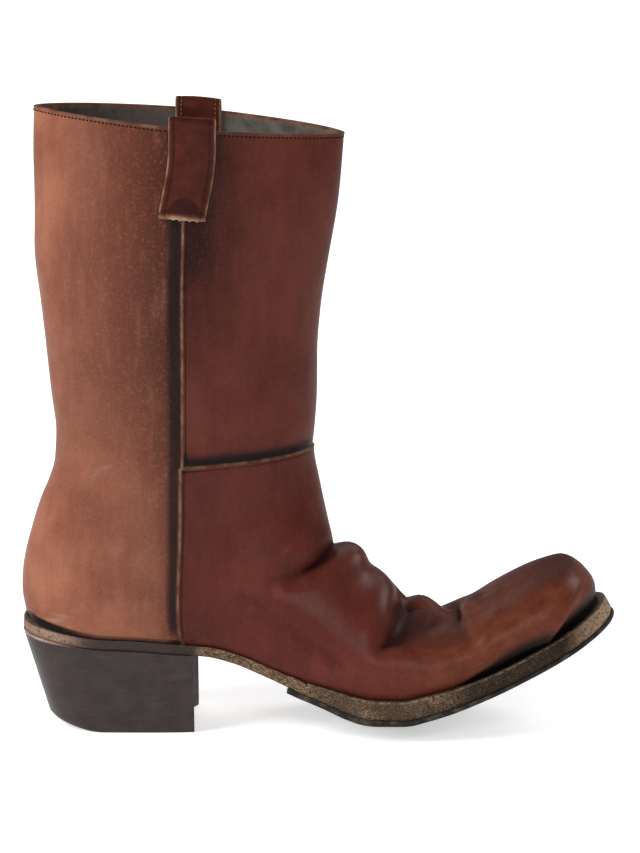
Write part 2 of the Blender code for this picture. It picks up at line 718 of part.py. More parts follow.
def make_heel(stack_finish, rubber_finish):
    """The stacked heel under the seat, and the top piece it stands on, worn round at the back."""
    seat = SEAT_HEIGHT - OUTSOLE_THICK
    seat_x, _, _, half = heel_plan(seat, seat)
    top = sole_point(seat_x, ACROSS[None, :] + 0.0 * seat_x, half, OUTSOLE_THICK + CLEARANCE)
    levels = []
    for z in (TOP_PIECE_THICK + CLEARANCE, TOP_PIECE_THICK, 0.0):
        _, x, y, _ = heel_plan(z, seat)
        levels.append(np.stack([x, y + 0.0 * x, z + 0.0 * x], axis=-1))
    levels[2][..., 2] = WEAR_RISE * smoothstep(-levels[2][..., 0], -WEAR_TO, -WEAR_FROM)
    stack = slab("heel_stack", top, levels[0], stack_finish)
    piece = slab("heel_top_piece", levels[1], levels[2], rubber_finish)
    return stack, piece


# Pull straps


def wall_hit(tree, x, z, sign, inside):
    """Side position of the upper's wall at (x, z), met from outside or from inside."""
    start = Vector((x, 0.0 if inside else sign * 0.2, z))
    heading = Vector((0.0, sign if inside else -sign, 0.0))
    return tree.ray_cast(start, heading)[0].y


def strap_line(tree, x, z, sign, inside):
    """Side positions along the straight line across the strap that just clears the wall."""
    met = np.array([wall_hit(tree, place, height, sign, inside) for place, height in zip(x, z)])
    slope = (met[-1] - met[0]) / (x[-1] - x[0])
    away = -sign if inside else sign
    level = (away * (met - slope * (x - x[0]))).max() + STRAP_PLAY
    return slope * (x - x[0]) + away * level


def rim_height(tree, x, sign):
    """Height of the collar's edge at x."""
    wall = wall_hit(tree, x, SHAFT_HEIGHT - COLLAR_DROP - 0.003, sign, False) - sign * WALL / 2.0
    return tree.ray_cast(Vector((x, wall, 1.0)), Vector((0.0, 0.0, -1.0)))[0].z


def make_strap(tree, side, sign, finish):
    """A leather loop over the collar: down outside, round the edge and a little way down inside."""
    width = STRAP_WIDTH * np.linspace(-0.5, 0.5, 13)
    x = SEAM_AT + STRAP_OFFSET + width
    rim = np.array([rim_height(tree, place, sign) for place in x])
    rim = rim[0] + (rim[-1] - rim[0]) * (x - x[0]) / (x[-1] - x[0])
    path = []
    for drop in np.linspace(STRAP_DROP, 0.0, 8) + EDGE_DROP:
        lean = x - STRAP_LEAN * drop
        path.append((lean, strap_line(tree, lean, rim - drop, sign, False), rim - drop))
    outside = path[-1][1]
    inside = strap_line(tree, x, rim - EDGE_DROP, sign, True)
    middle = (outside + inside) / 2.0
    radius = (outside - inside) / 2.0
    for angle in np.linspace(0.0, math.pi, 7):
        over = rim + STRAP_RISE + np.abs(radius) * math.sin(angle)
        path.append((x, middle + radius * math.cos(angle), over))
    for drop in np.linspace(0.0, STRAP_INSIDE, 5) + EDGE_DROP:
        path.append((x, strap_line(tree, x, rim - drop, sign, True), rim - drop))
    sheet = np.array([[np.stack(edge) for edge in ((p[0][0], p[1][0], p[2][0]),
                                                   (p[0][-1], p[1][-1], p[2][-1]))] for p in path])
    rows = len(sheet)
    index = np.arange(rows * 2).reshape(rows, 2)
    quads = np.stack([index[:-1, 0], index[:-1, 1], index[1:, 1], index[1:, 0]], axis=-1)
    if side == "medial":
        quads = quads[:, ::-1]
    strap = mesh_object("pull_strap_" + side, sheet.reshape(-1, 3), quads.tolist(), finish)
    band = strap.modifiers.new("band", "SOLIDIFY")
    band.thickness = STRAP_THICK
    band.offset = 1.0
    return strap


def stand_on_origin():
    """Parents every piece to an empty that puts the box's bottom centre on the origin."""
    bpy.context.view_layer.update()
    graph = bpy.context.evaluated_depsgraph_get()
    corners = []
    for piece in BOOT.objects:
        corners += [tuple(corner) for corner in piece.evaluated_get(graph).bound_box]
    corners = np.array(corners)
    middle = (corners.min(axis=0) + corners.max(axis=0)) / 2.0
    stand = bpy.data.objects.new("boot", None)
    stand.location = (-middle[0], -middle[1], -corners[:, 2].min())
    for piece in list(BOOT.objects):
        piece.parent = stand
    BOOT.objects.link(stand)
    bpy.context.view_layer.update()


BOOT = clear_scene()
LEATHER = material("upper_leather", (0.150, 0.045, 0.028), 0.42)
SOLE_LEATHER = material("sole_leather", (0.080, 0.055, 0.038), 0.60)
STACK_LEATHER = material("heel_leather", (0.035, 0.022, 0.018), 0.50)
RUBBER = material("sole_rubber", (0.020, 0.019, 0.018), 0.75)
BOARD = material("insole_leather", (0.200, 0.150, 0.105), 0.70)
make_outsole(SOLE_LEATHER)
make_half_sole(RUBBER)
make_welt(SOLE_LEATHER)
make_insole(BOARD)
make_heel(STACK_LEATHER, RUBBER)
UPPER = make_upper(LEATHER)
bpy.context.view_layer.update()
WALLS = BVHTree.FromObject(UPPER, bpy.context.evaluated_depsgraph_get())
make_strap(WALLS, "lateral", -1.0, LEATHER)
make_strap(WALLS, "medial", 1.0, LEATHER)
stand_on_origin()
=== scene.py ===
import math

import bmesh
import bpy
import numpy as np
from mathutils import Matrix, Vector


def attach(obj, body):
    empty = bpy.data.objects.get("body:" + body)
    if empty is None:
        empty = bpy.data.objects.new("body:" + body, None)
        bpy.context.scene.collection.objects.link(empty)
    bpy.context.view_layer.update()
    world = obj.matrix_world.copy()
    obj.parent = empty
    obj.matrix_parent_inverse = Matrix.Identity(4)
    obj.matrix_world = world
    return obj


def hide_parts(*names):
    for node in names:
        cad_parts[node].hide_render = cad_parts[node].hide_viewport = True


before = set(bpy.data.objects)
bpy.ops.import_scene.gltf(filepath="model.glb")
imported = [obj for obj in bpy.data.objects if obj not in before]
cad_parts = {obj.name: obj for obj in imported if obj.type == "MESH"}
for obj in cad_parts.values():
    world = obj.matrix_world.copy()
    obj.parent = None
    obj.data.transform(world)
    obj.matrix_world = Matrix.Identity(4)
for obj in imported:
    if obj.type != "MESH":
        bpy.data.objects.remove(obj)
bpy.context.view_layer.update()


# The studio
# A pale floor that glows a little, as a lit sweep does. The main soft source stands on the left, a
# wide one over the camera, a weak one beyond the toe, and one lights the floor far behind the boot.

AIM = Vector((0.0008, -0.0010, 0.1570))
CAMERA_FAR = 2.3
CAMERA_UP = math.radians(12.3)
CAMERA_YAW = math.radians(1.0)
LENS_MM = 187.3
SURROUND = 0.20
FLOOR_GLOW = 0.5
FLOOR_REACH = 9.0

lens = bpy.data.cameras.new("camera")
lens.lens = LENS_MM
lens.sensor_width = 36.0
lens.clip_start = 0.05
lens.clip_end = 50.0
camera = bpy.data.objects.new("camera", lens)
bpy.context.scene.collection.objects.link(camera)
toward = Vector((math.sin(CAMERA_YAW) * math.cos(CAMERA_UP),
                 -math.cos(CAMERA_YAW) * math.cos(CAMERA_UP), math.sin(CAMERA_UP)))
camera.location = AIM + CAMERA_FAR * toward
camera.rotation_mode = "QUATERNION"
camera.rotation_quaternion = (-toward).to_track_quat("-Z", "Y")
bpy.context.scene.camera = camera

world = bpy.data.worlds.new("surround")
world.use_nodes = True
world.node_tree.nodes["Background"].inputs["Color"].default_value = (1.0, 1.0, 1.0, 1.0)
world.node_tree.nodes["Background"].inputs["Strength"].default_value = SURROUND
bpy.context.scene.world = world
bpy.context.scene.view_settings.view_transform = "Standard"


def soft_light(name, place, power, width, height, faces=AIM):
    """A rectangular soft source at place that faces the middle of the boot, or another point."""
    source = bpy.data.lights.new(name, "AREA")
    source.shape = "RECTANGLE"
    source.size = width
    source.size_y = height
    source.energy = power
    lamp = bpy.data.objects.new(name, source)
    lamp.location = place
    lamp.rotation_mode = "QUATERNION"
    lamp.rotation_quaternion = (Vector(faces) - Vector(place)).to_track_quat("-Z", "Y")
    bpy.context.scene.collection.objects.link(lamp)


soft_light("key_light", (-1.7, -0.9, 1.2), 46.0, 0.9, 1.2)
soft_light("front_light", (0.5, -2.4, 1.3), 34.0, 1.6, 1.4)
soft_light("rim_light", (1.5, 0.9, 1.2), 18.0, 0.8, 1.0)
soft_light("floor_light", (0.0, 3.0, 2.0), 55.0, 4.0, 2.0, (0.0, 3.0, 0.0))


class Socket:
    """One output of a node, so that shader maths reads as plain expressions."""

    def __init__(self, finish, socket):
        self.finish = finish
        self.socket = socket

    def __add__(self, other):
        return self.finish.maths("ADD", self, other)

    def __sub__(self, other):
        return self.finish.maths("SUBTRACT", self, other)

    def __rsub__(self, other):
        return self.finish.maths("SUBTRACT", other, self)

    def __mul__(self, other):
        return self.finish.maths("MULTIPLY", self, other)

    __radd__ = __add__
    __rmul__ = __mul__


class Finish:
    """A material being made: node() adds any node, and the rest are short names for common ones."""

    def __init__(self, name):
        self.material = bpy.data.materials.new(name)
        self.material.use_nodes = True
        self.tree = self.material.node_tree
        self.shader = self.tree.nodes["Principled BSDF"]

    def feed(self, socket, value):
        """Links a node's output to a socket, or sets the socket's own value."""
        if isinstance(value, Socket):
            self.tree.links.new(value.socket, socket)
        else:
            socket.default_value = value

    def node(self, kind, settings=None, sockets=None, output=0):
        """Any node: its type, its settings, then the values or links of its sockets."""
        made = self.tree.nodes.new("ShaderNode" + kind)
        for key, value in (settings or {}).items():
            setattr(made, key, value)
        for key, value in (sockets or {}).items():
            self.feed(made.inputs[key], value)
        return Socket(self, made.outputs[output])

    def maths(self, operation, first, second):
        """Two values put together by a Math node."""
        return self.node("Math", {"operation": operation}, {0: first, 1: second})

    def mix(self, share, first, second):
        """Colour that runs from first to second as share goes from 0 to 1."""
        return self.node("Mix", {"data_type": "RGBA"}, {0: share, 6: first, 7: second}, 2)

    def step(self, value, low, high):
        """A soft S from 0 at low to 1 at high."""
        settings = {"interpolation_type": "SMOOTHSTEP"}
        return self.node("MapRange", settings, {0: value, 1: low, 2: high})

    def place(self, stretch=(1.0, 1.0, 1.0)):
        """Object coordinates, stretched."""
        at = self.node("TexCoord", output=3)
        return self.node("Mapping", None, {0: at, 3: stretch})

    def noise(self, at, scale, detail=3.0, rough=0.5):
        """Cloudy values from 0 to 1, scale clouds to a metre."""
        sockets = {"Vector": at, "Scale": scale, "Detail": detail, "Roughness": rough}
        return self.node("TexNoise", None, sockets)

    def share(self, name):
        """A value painted on the mesh."""
        return self.node("Attribute", {"attribute_name": name}, output=2)

    def done(self, **sockets):
        """Feeds the shader's sockets and hands over the material."""
        for key, value in sockets.items():
            self.feed(self.shader.inputs[key.replace("_", " ")], value)
        return self.material


def tint(red, green, blue):
    """A colour given as it looks on a screen, from 0 to 255, as the linear values a shader takes."""
    values = np.array([red, green, blue]) / 255.0
    linear = np.where(values <= 0.04045, values / 12.92, ((values + 0.055) / 1.055) ** 2.4)
    return (*linear.tolist(), 1.0)


def sheet_floor():
    """One square at height 0, FLOOR_REACH to each side."""
    mesh = bpy.data.meshes.new("floor")
    reach = FLOOR_REACH
    corners = [(-reach, -reach, 0.0), (reach, -reach, 0.0), (reach, reach, 0.0), (-reach, reach, 0.0)]
    mesh.from_pydata(corners, [], [(0, 1, 2, 3)])
    floor = bpy.data.objects.new("floor", mesh)
    bpy.context.scene.collection.objects.link(floor)
    pale = Finish("pale_floor")
    mesh.materials.append(pale.done(Base_Color=(0.82, 0.82, 0.82, 1.0), Roughness=0.9,
                                    Emission_Color=(1.0, 1.0, 1.0, 1.0), Emission_Strength=FLOOR_GLOW))


sheet_floor()


# The last
# The form that the boot was made on: the sole's plan, its spring from the heel over the ball to the
# toe, and slanted sections that run from the feather line or the centre back to the centre front.

LENGTH = 0.308
BALL_WIDTH = 0.098
HEEL_WIDTH = 0.067
SEAT_HEIGHT = 0.0498
TOE_SPRING = 0.047
INSTEP = 0.100
SHAFT_HEIGHT = 0.3245
SHAFT_WIDTH = 0.077
COLLAR_DROP = 0.0133
COLLAR_FLARE = 0.0136
ANKLE_NIP = 0.018
SEAM_AT = 0.0841
WALL = 0.0020
OUTSOLE_THICK = 0.0053
WELT_THICK = 0.0043
WELT_END_THICK = 0.0014
RUBBER_THICK = 0.0026
CLEARANCE = 0.0003
CAMBER = 0.0095
TOE_LEDGE = 0.0035
HEEL_LEDGE = 0.0008
PLAN_END = 0.986
TOE_CAP = 0.766
TOE_POWER = 2.15
HEEL_CAP = 0.110
HEEL_POWER = 2.3
SWING = 0.008
LIP = 0.0030
STAND = np.array([-0.153957, -0.0010574, 0.0])


def columns(names, rows):
    """A table: each named column as an array, with a row for each section."""
    return dict(zip(names.split(), np.array(rows, float).T))


PLAN = columns("along lateral medial", [
    (0.000, 0.500, 0.492), (0.146, 0.500, 0.492), (0.244, 0.492, 0.455), (0.315, 0.451, 0.380),
    (0.390, 0.411, 0.315), (0.455, 0.422, 0.324), (0.520, 0.458, 0.383), (0.584, 0.491, 0.440),
    (0.650, 0.510, 0.480), (0.714, 0.508, 0.494), (0.770, 0.495, 0.490)])

PROFILE = columns("along seat spring camber", [
    (0.000, 1.237, 0.000, 0.00), (0.042, 1.186, 0.000, 0.00), (0.075, 1.128, 0.000, 0.00),
    (0.130, 1.036, 0.000, 0.00), (0.195, 1.000, 0.000, 0.00), (0.258, 0.938, 0.000, 0.00),
    (0.317, 0.883, 0.000, 0.00), (0.360, 0.760, 0.000, 0.08), (0.425, 0.489, 0.000, 0.25),
    (0.484, 0.270, 0.000, 0.55), (0.523, 0.172, 0.000, 0.80), (0.560, 0.070, 0.000, 0.95),
    (0.600, 0.000, 0.000, 1.00), (0.645, 0.000, 0.000, 1.00), (0.672, 0.000, 0.038, 0.98),
    (0.724, 0.000, 0.125, 0.85), (0.773, 0.000, 0.231, 0.66), (0.840, 0.000, 0.431, 0.36),
    (0.909, 0.000, 0.645, 0.10), (0.950, 0.000, 0.790, 0.00), (1.000, 0.000, 0.980, 0.00)])

FOOT = columns("start top rise lateral medial widest low high", [
    (0.915, 0.9665, 0.003, 0.400, 0.400, -2.10, 2.2, 2.15),
    (0.902, 0.9650, 0.063, 0.405, 0.405, -0.90, 2.2, 2.25),
    (0.883, 0.9480, 0.166, 0.410, 0.410, 0.05, 2.2, 2.40),
    (0.857, 0.9150, 0.263, 0.425, 0.420, 0.18, 2.2, 2.50),
    (0.818, 0.8670, 0.281, 0.448, 0.442, 0.26, 2.2, 2.45),
    (0.766, 0.8150, 0.270, 0.466, 0.456, 0.30, 2.2, 2.35),
    (0.708, 0.7690, 0.240, 0.476, 0.466, 0.32, 2.2, 2.25),
    (0.659, 0.7320, 0.245, 0.476, 0.462, 0.33, 2.2, 2.15),
    (0.601, 0.6890, 0.312, 0.468, 0.448, 0.33, 2.2, 2.10),
    (0.529, 0.6430, 0.389, 0.458, 0.432, 0.34, 2.2, 2.10),
    (0.455, 0.5960, 0.492, 0.457, 0.434, 0.36, 2.2, 2.10),
    (0.377, 0.5570, 0.570, 0.486, 0.466, 0.39, 2.2, 2.10),
    (0.299, 0.5280, 0.620, 0.522, 0.510, 0.41, 2.2, 2.10),
    (0.214, 0.5080, 0.712, 0.537, 0.530, 0.42, 2.2, 2.10),
    (0.130, 0.4950, 0.860, 0.537, 0.537, 0.42, 2.2, 2.05),
    (0.058, 0.4890, 0.950, 0.537, 0.537, 0.41, 2.2, 2.00),
    (0.000, 0.4870, 0.987, 0.537, 0.537, 0.40, 2.2, 2.00)])

SHAFT = columns("up front nip flare half widest power", [
    (0.000, 0.000, 0.00, 0.00, 0.537, 0.40, 2.10),
    (0.043, 0.010, -0.07, -0.03, 0.540, 0.41, 2.10),
    (0.070, 0.020, -0.06, -0.06, 0.541, 0.42, 2.08),
    (0.108, 0.030, 0.02, -0.10, 0.540, 0.43, 2.05),
    (0.165, 0.045, 0.24, -0.14, 0.530, 0.44, 2.00),
    (0.220, 0.060, 0.50, -0.17, 0.518, 0.46, 2.00),
    (0.270, 0.078, 0.80, -0.18, 0.505, 0.48, 1.98),
    (0.303, 0.090, 0.92, -0.18, 0.500, 0.49, 1.95),
    (0.362, 0.135, 0.96, -0.12, 0.496, 0.50, 1.95),
    (0.430, 0.230, 0.86, -0.05, 0.496, 0.50, 1.92),
    (0.520, 0.360, 0.73, -0.03, 0.500, 0.50, 1.90),
    (0.620, 0.490, 0.58, 0.12, 0.502, 0.50, 1.85),
    (0.740, 0.640, 0.40, 0.40, 0.500, 0.50, 1.75),
    (0.870, 0.830, 0.40, 0.78, 0.490, 0.50, 1.62),
    (1.000, 1.000, 0.45, 1.00, 0.470, 0.50, 1.50)])


def smoothstep(value, low, high):
    """0 below low, 1 above high and a soft S between."""
    share = np.clip((value - low) / (high - low), 0.0, 1.0)
    return share * share * (3.0 - 2.0 * share)


def bell(value, middle, width):
    """A bell curve of height 1."""
    return np.exp(-((value - middle) / width) ** 2)


def soft_curve(at, knots, values):
    """A cubic through the knots that never overshoots: each slope is the harmonic mean of its sides'."""
    sides = np.diff(values) / np.diff(knots)
    product = sides[:-1] * sides[1:]
    total = sides[:-1] + sides[1:]
    inner = np.where(product > 0, 2.0 * product / np.where(total == 0, 1.0, total), 0.0)
    slopes = np.concatenate([sides[:1], inner, sides[-1:]])
    at = np.clip(at, knots[0], knots[-1])
    span = np.clip(np.searchsorted(knots, at, side="right") - 1, 0, len(knots) - 2)
    width = knots[span + 1] - knots[span]
    share = (at - knots[span]) / width
    hold = share * share * (3.0 - 2.0 * share)
    start = share * (1.0 - share) ** 2 * width * slopes[span]
    end = share * share * (share - 1.0) * width * slopes[span + 1]
    return values[span] * (1.0 - hold) + values[span + 1] * hold + start + end


def read(table, column, at):
    """A column of a table at places given as shares of its first column."""
    knots = next(iter(table.values()))
    if knots[0] > knots[-1]:
        return soft_curve(at, knots[::-1], table[column][::-1])
    return soft_curve(at, knots, table[column])


def local_width(x):
    """The width that rules at x: the heel's at the back, the ball's at the front."""
    return HEEL_WIDTH + (BALL_WIDTH - HEEL_WIDTH) * smoothstep(x / LENGTH, 0.25, 0.60)


def round_end(distance, depth, power):
    """Half width of a rounded end, as a share, at a distance in from its tip."""
    share = np.clip(1.0 - distance / depth, 0.0, 1.0)
    return (1.0 - share ** power) ** (1.0 / power)


def half_plan(x, side, inset=0.0, tip=0.0, back=0.0):
    """Half width of the plan at x, drawn in by inset at the sides, tip at the toe and back at the heel."""
    body = read(PLAN, side, x / LENGTH) * local_width(x) - inset
    toe = LENGTH * PLAN_END - tip
    rounded = round_end(toe - x, toe - TOE_CAP * LENGTH, TOE_POWER)
    return body * rounded * round_end(x - back, HEEL_CAP * LENGTH, HEEL_POWER)


def ledge(x):
    """How far the sole stands out past the upper."""
    return HEEL_LEDGE + (TOE_LEDGE - HEEL_LEDGE) * smoothstep(x / LENGTH, 0.42, 0.60)


PANEL_STEP = 0.0009
VAMP_STEP = 0.0008


def feather(x, side):
    """Half width of the upper's inner face on the feather line."""
    wall = WALL + PANEL_STEP * smoothstep(x, SEAM_AT - 0.001, SEAM_AT)
    return half_plan(x, side, ledge(x) + wall, TOE_LEDGE + WALL + PANEL_STEP, HEEL_LEDGE + WALL)


def feather_height(x):
    """Height of the sole's upper face along its edge."""
    ball = CAMBER + RUBBER_THICK + OUTSOLE_THICK + WELT_THICK + 2.0 * CLEARANCE
    seat = read(PROFILE, "seat", x / LENGTH) * (SEAT_HEIGHT - ball)
    return ball + seat + read(PROFILE, "spring", x / LENGTH) * TOE_SPRING


def sole_tilt(x):
    """Angle of the feather line at x, positive where it climbs towards the toe."""
    return np.arctan((feather_height(x + 0.0005) - feather_height(x - 0.0005)) / 0.001)


def swing(x):
    """Sideways turn of the foot's line towards the medial side at the toe."""
    return SWING * smoothstep(x / LENGTH, 0.45, 1.25)


def lifted(x):
    """The top of the lip that stands square on the sole where the feather line is at x."""
    tilt = sole_tilt(x)
    return x - LIP * np.sin(tilt), feather_height(x) + CLEARANCE + LIP * np.cos(tilt)


# The upper
# Waxed calf in three parts, cut raw and burnished: a back panel, a front panel lapped over it down
# both sides, and a vamp lapped over both. The vamp has been worn into deep soft folds over the ball.

VAMP_SEAM_UP = 0.303
SEAM_LINE = columns("height place", [
    (0.040, 0.0862), (0.047, 0.0856), (0.056, 0.0838), (0.072, 0.0832), (0.094, 0.0838),
    (0.135, 0.0848), (0.152, 0.0852), (0.230, 0.0855), (0.269, 0.0862), (0.330, 0.0866)])
FOOT_ROWS = 122
SHAFT_ROWS = 96
BACK_COLUMNS = 32
FRONT_COLUMNS = 54
SEAM_COLUMNS = np.array([-0.0030, -0.0019, -0.0012, -0.0008, -0.0004, 0.0,
                         0.0005, 0.0010, 0.0016, 0.0022, 0.0030])
STITCH_COLUMN = 8
SEAM_ROWS = np.array([0.012, 0.008, 0.0055, 0.003, 0.0005, -0.002, -0.005, -0.0085, -0.012, -0.016])
STITCH_ROW = 7
COLLAR_STITCH = 0.0021


def even_places(places, length):
    """Resamples places so that the running length grows evenly."""
    run = np.concatenate([[0.0], np.cumsum(length)])
    return lambda count: np.interp(np.linspace(0.0, run[-1], count), run, places)


def foot_ends(start):
    """Ends and shape of the sections that start on the feather line."""
    share = start / LENGTH
    scale = local_width(start)
    start_x, start_z = lifted(start)
    front_x, front_z = lifted(read(FOOT, "top", share) * LENGTH)
    return {
        "x0": start_x, "z0": start_z, "x1": front_x, "z1": front_z + read(FOOT, "rise", share) * INSTEP,
        "f_lateral": feather(start, "lateral"), "f_medial": feather(start, "medial"),
        "lateral": read(FOOT, "lateral", share) * scale, "medial": read(FOOT, "medial", share) * scale,
        "widest": read(FOOT, "widest", share), "low": read(FOOT, "low", share),
        "high": read(FOOT, "high", share), "up": 0.0 * share - 1.0}


def shaft_ends(up):
    """Ends and shape of the closed sections of the shaft, up from the heel's back."""
    back_x, back_z = lifted(np.array(HEEL_LEDGE + WALL))
    ankle_x, ankle_z = lifted(FOOT["top"][-1] * LENGTH)
    ankle_z = ankle_z + FOOT["rise"][-1] * INSTEP
    width = HEEL_WIDTH + (SHAFT_WIDTH - HEEL_WIDTH) * smoothstep(up, 0.0, 0.35)
    half = read(SHAFT, "half", up) * width
    power = read(SHAFT, "power", up)
    return {
        "x0": back_x + read(SHAFT, "nip", up) * ANKLE_NIP, "z0": back_z + up * (SHAFT_HEIGHT - back_z),
        "x1": ankle_x + read(SHAFT, "flare", up) * COLLAR_FLARE,
        "z1": ankle_z + read(SHAFT, "front", up) * (SHAFT_HEIGHT - COLLAR_DROP - ankle_z),
        "f_lateral": 0.0 * up, "f_medial": 0.0 * up, "lateral": half, "medial": half,
        "widest": read(SHAFT, "widest", up), "low": power, "high": power, "up": up}


def run_lengths(ends, at_sole):
    """Steps between the sections' front ends, plus a share of those between their sole ends."""
    front = np.hypot(np.diff(ends["x1"]), np.diff(ends["z1"]))
    return front + at_sole * np.hypot(np.diff(ends["x0"]), np.diff(ends["z0"]))


def row_places():
    """Where the sections start: evenly over the foot and the shaft, closer together at the seams."""
    start = np.linspace(0.915 * LENGTH, HEEL_LEDGE + WALL, 2000)
    start = even_places(start, run_lengths(foot_ends(start), 0.8))(FOOT_ROWS)
    near_seam = SEAM_AT + np.array([0.0030, 0.0020, 0.0012, 0.0006, 0.0, -0.0006, -0.0012, -0.0020])
    start = start[np.abs(start[:, None] - near_seam[None, :]).min(axis=1) > 0.0006]
    start = np.sort(np.concatenate([start, near_seam]))[::-1][:-1]
    up = np.linspace(0.0, 1.0, 2000)
    up = even_places(up, run_lengths(shaft_ends(up), 1.0))(SHAFT_ROWS)
    lap = VAMP_SEAM_UP + SEAM_ROWS
    up = up[(up < lap.min() - 0.004) | (up > lap.max() + 0.004)]
    return start, np.sort(np.concatenate([up, lap]))


def half_sections(share, start_half, widest_half, widest, low, high):
    """Half widths along sections: an oval cut off by the sole below, and a rounder or squarer top."""
    full = np.maximum(widest_half, start_half * 1.001)
    cut = (1.0 - (start_half / full) ** low) ** (-1.0 / low) - 1.0
    up_only = widest <= 0.0
    level = np.where(up_only, 0.5, widest)
    lower = np.clip((level - share) / level, 0.0, 1.0) / (1.0 + cut)
    upper = np.clip((share - level) / (1.0 - level), 0.0, 1.0)
    oval = np.where(share < level, full * (1.0 - lower ** low) ** (1.0 / low),
                    full * (1.0 - upper ** high) ** (1.0 / high))
    below = np.minimum(widest, 0.0)
    rise = np.clip((share - below) / (1.0 - below), 0.0, 1.0)
    first = -below / (1.0 - below)
    flat = start_half * (1.0 - rise ** high) ** (1.0 / high) / (1.0 - first ** high) ** (1.0 / high)
    return np.where(up_only, flat, oval)


def side_grid(ends, side):
    """Points of one side of all sections: columns spread by length, gathered where the seam runs."""
    share = (1.0 - np.cos(math.pi * np.linspace(0.0, 1.0, 500)))[None, :] / 2.0
    put = {key: value[:, None] for key, value in ends.items()}
    half = half_sections(share, put["f_" + side], put[side], put["widest"], put["low"], put["high"])
    x = put["x0"] + share * (put["x1"] - put["x0"])
    z = put["z0"] + share * (put["z1"] - put["z0"])
    steps = np.sqrt(np.diff(x) ** 2 + np.diff(z) ** 2 + np.diff(half) ** 2)
    along = np.concatenate([np.zeros((len(x), 1)), np.cumsum(steps, axis=1)], axis=1)
    off_seam = np.abs(x - read(SEAM_LINE, "place", z))
    at_seam = np.take_along_axis(along, off_seam.argmin(axis=1)[:, None], axis=1)[:, 0]
    fixed = 0.002 + 0.016 * smoothstep(ends["x0"], SEAM_AT, SEAM_AT + 0.05)
    seam = np.where((ends["up"] < 0) & (ends["x0"] > SEAM_AT - 0.004), np.maximum(fixed, 0.002), at_seam)
    seam = np.maximum(seam, 0.002)[:, None]
    squeeze = np.minimum(1.0, seam / 0.006)
    near = seam + SEAM_COLUMNS[None, :] * squeeze
    back = near[:, :1] * np.linspace(0.0, 1.0, BACK_COLUMNS, endpoint=False)[None, :]
    ahead = np.linspace(0.0, 1.0, FRONT_COLUMNS + 1)[None, 1:]
    front = near[:, -1:] + (along[:, -1:] - near[:, -1:]) * ahead
    places = np.concatenate([back, near, front], axis=1)
    rows = []
    for row, place in enumerate(places):
        rows.append([np.interp(place, along[row], values[row]) for values in (x, half, z)])
    rows = np.array(rows)
    x, half, z = rows[:, 0], rows[:, 1], rows[:, 2]
    half[:, -1] = 0.0
    z[0] = lifted(x[0] + LIP * np.sin(sole_tilt(x[0])))[1]
    sign = -1.0 if side == "lateral" else 1.0
    return np.stack([x, sign * half + swing(x) * smoothstep(-z, -0.16, -0.07), z], axis=-1)


def grid_normals(grid):
    """Unit normals of a grid of points, facing out of the boot."""
    down = np.gradient(grid, axis=0)
    round_it = np.gradient(grid, axis=1)
    normal = np.cross(round_it, down)
    return normal / np.maximum(np.linalg.norm(normal, axis=-1, keepdims=True), 1e-12)


def eased(grid, weight, times):
    """Evens a grid out along its columns, where weight is above 0."""
    for _ in range(times):
        middle = (grid[:-2] + grid[2:]) / 2.0
        grid[1:-1] += 0.5 * weight[1:-1, :, None] * (middle - grid[1:-1])
    return grid


foot_start, shaft_up = row_places()
foot_part = foot_ends(foot_start)
shaft_part = shaft_ends(shaft_up)
ends = {key: np.concatenate([foot_part[key], shaft_part[key]]) for key in foot_part}
lateral = side_grid(ends, "lateral")
medial = side_grid(ends, "medial")
inner = np.concatenate([lateral, medial[:, -2::-1]], axis=1)
row_count, column_count = inner.shape[:2]
seat_row = len(foot_start)
from_end = np.minimum(np.arange(column_count), column_count - 1 - np.arange(column_count))
from_front = np.abs(np.arange(column_count) - (column_count - 1) / 2.0) / ((column_count - 1) / 2.0)
on_medial = np.arange(column_count) > (column_count - 1) / 2.0
off_junction = np.abs(np.arange(row_count) - seat_row)
ease = smoothstep(-off_junction, -26.0, -8.0)[:, None] * smoothstep(from_end, 1.0, 8.0)[None, :]
inner = eased(inner, ease, 60)

# Folds right over the vamp: place on the centre front, height or depth, width, how far down the
# side it is strongest and fades, and its share on the medial side.
FOLDS = columns("place height width side reach medial", [
    (0.526, -0.0040, 0.014, 0.16, 0.26, 0.8), (0.552, 0.0052, 0.020, 0.00, 0.30, 0.9),
    (0.598, 0.0020, 0.016, 0.05, 0.25, 0.8), (0.636, -0.0020, 0.014, 0.25, 0.25, 0.6),
    (0.672, 0.0018, 0.018, 0.00, 0.30, 0.9), (0.700, -0.0036, 0.017, 0.45, 0.22, 0.5),
    (0.740, -0.0045, 0.010, 0.00, 0.36, 0.9), (0.768, 0.0016, 0.016, 0.10, 0.35, 0.8)])

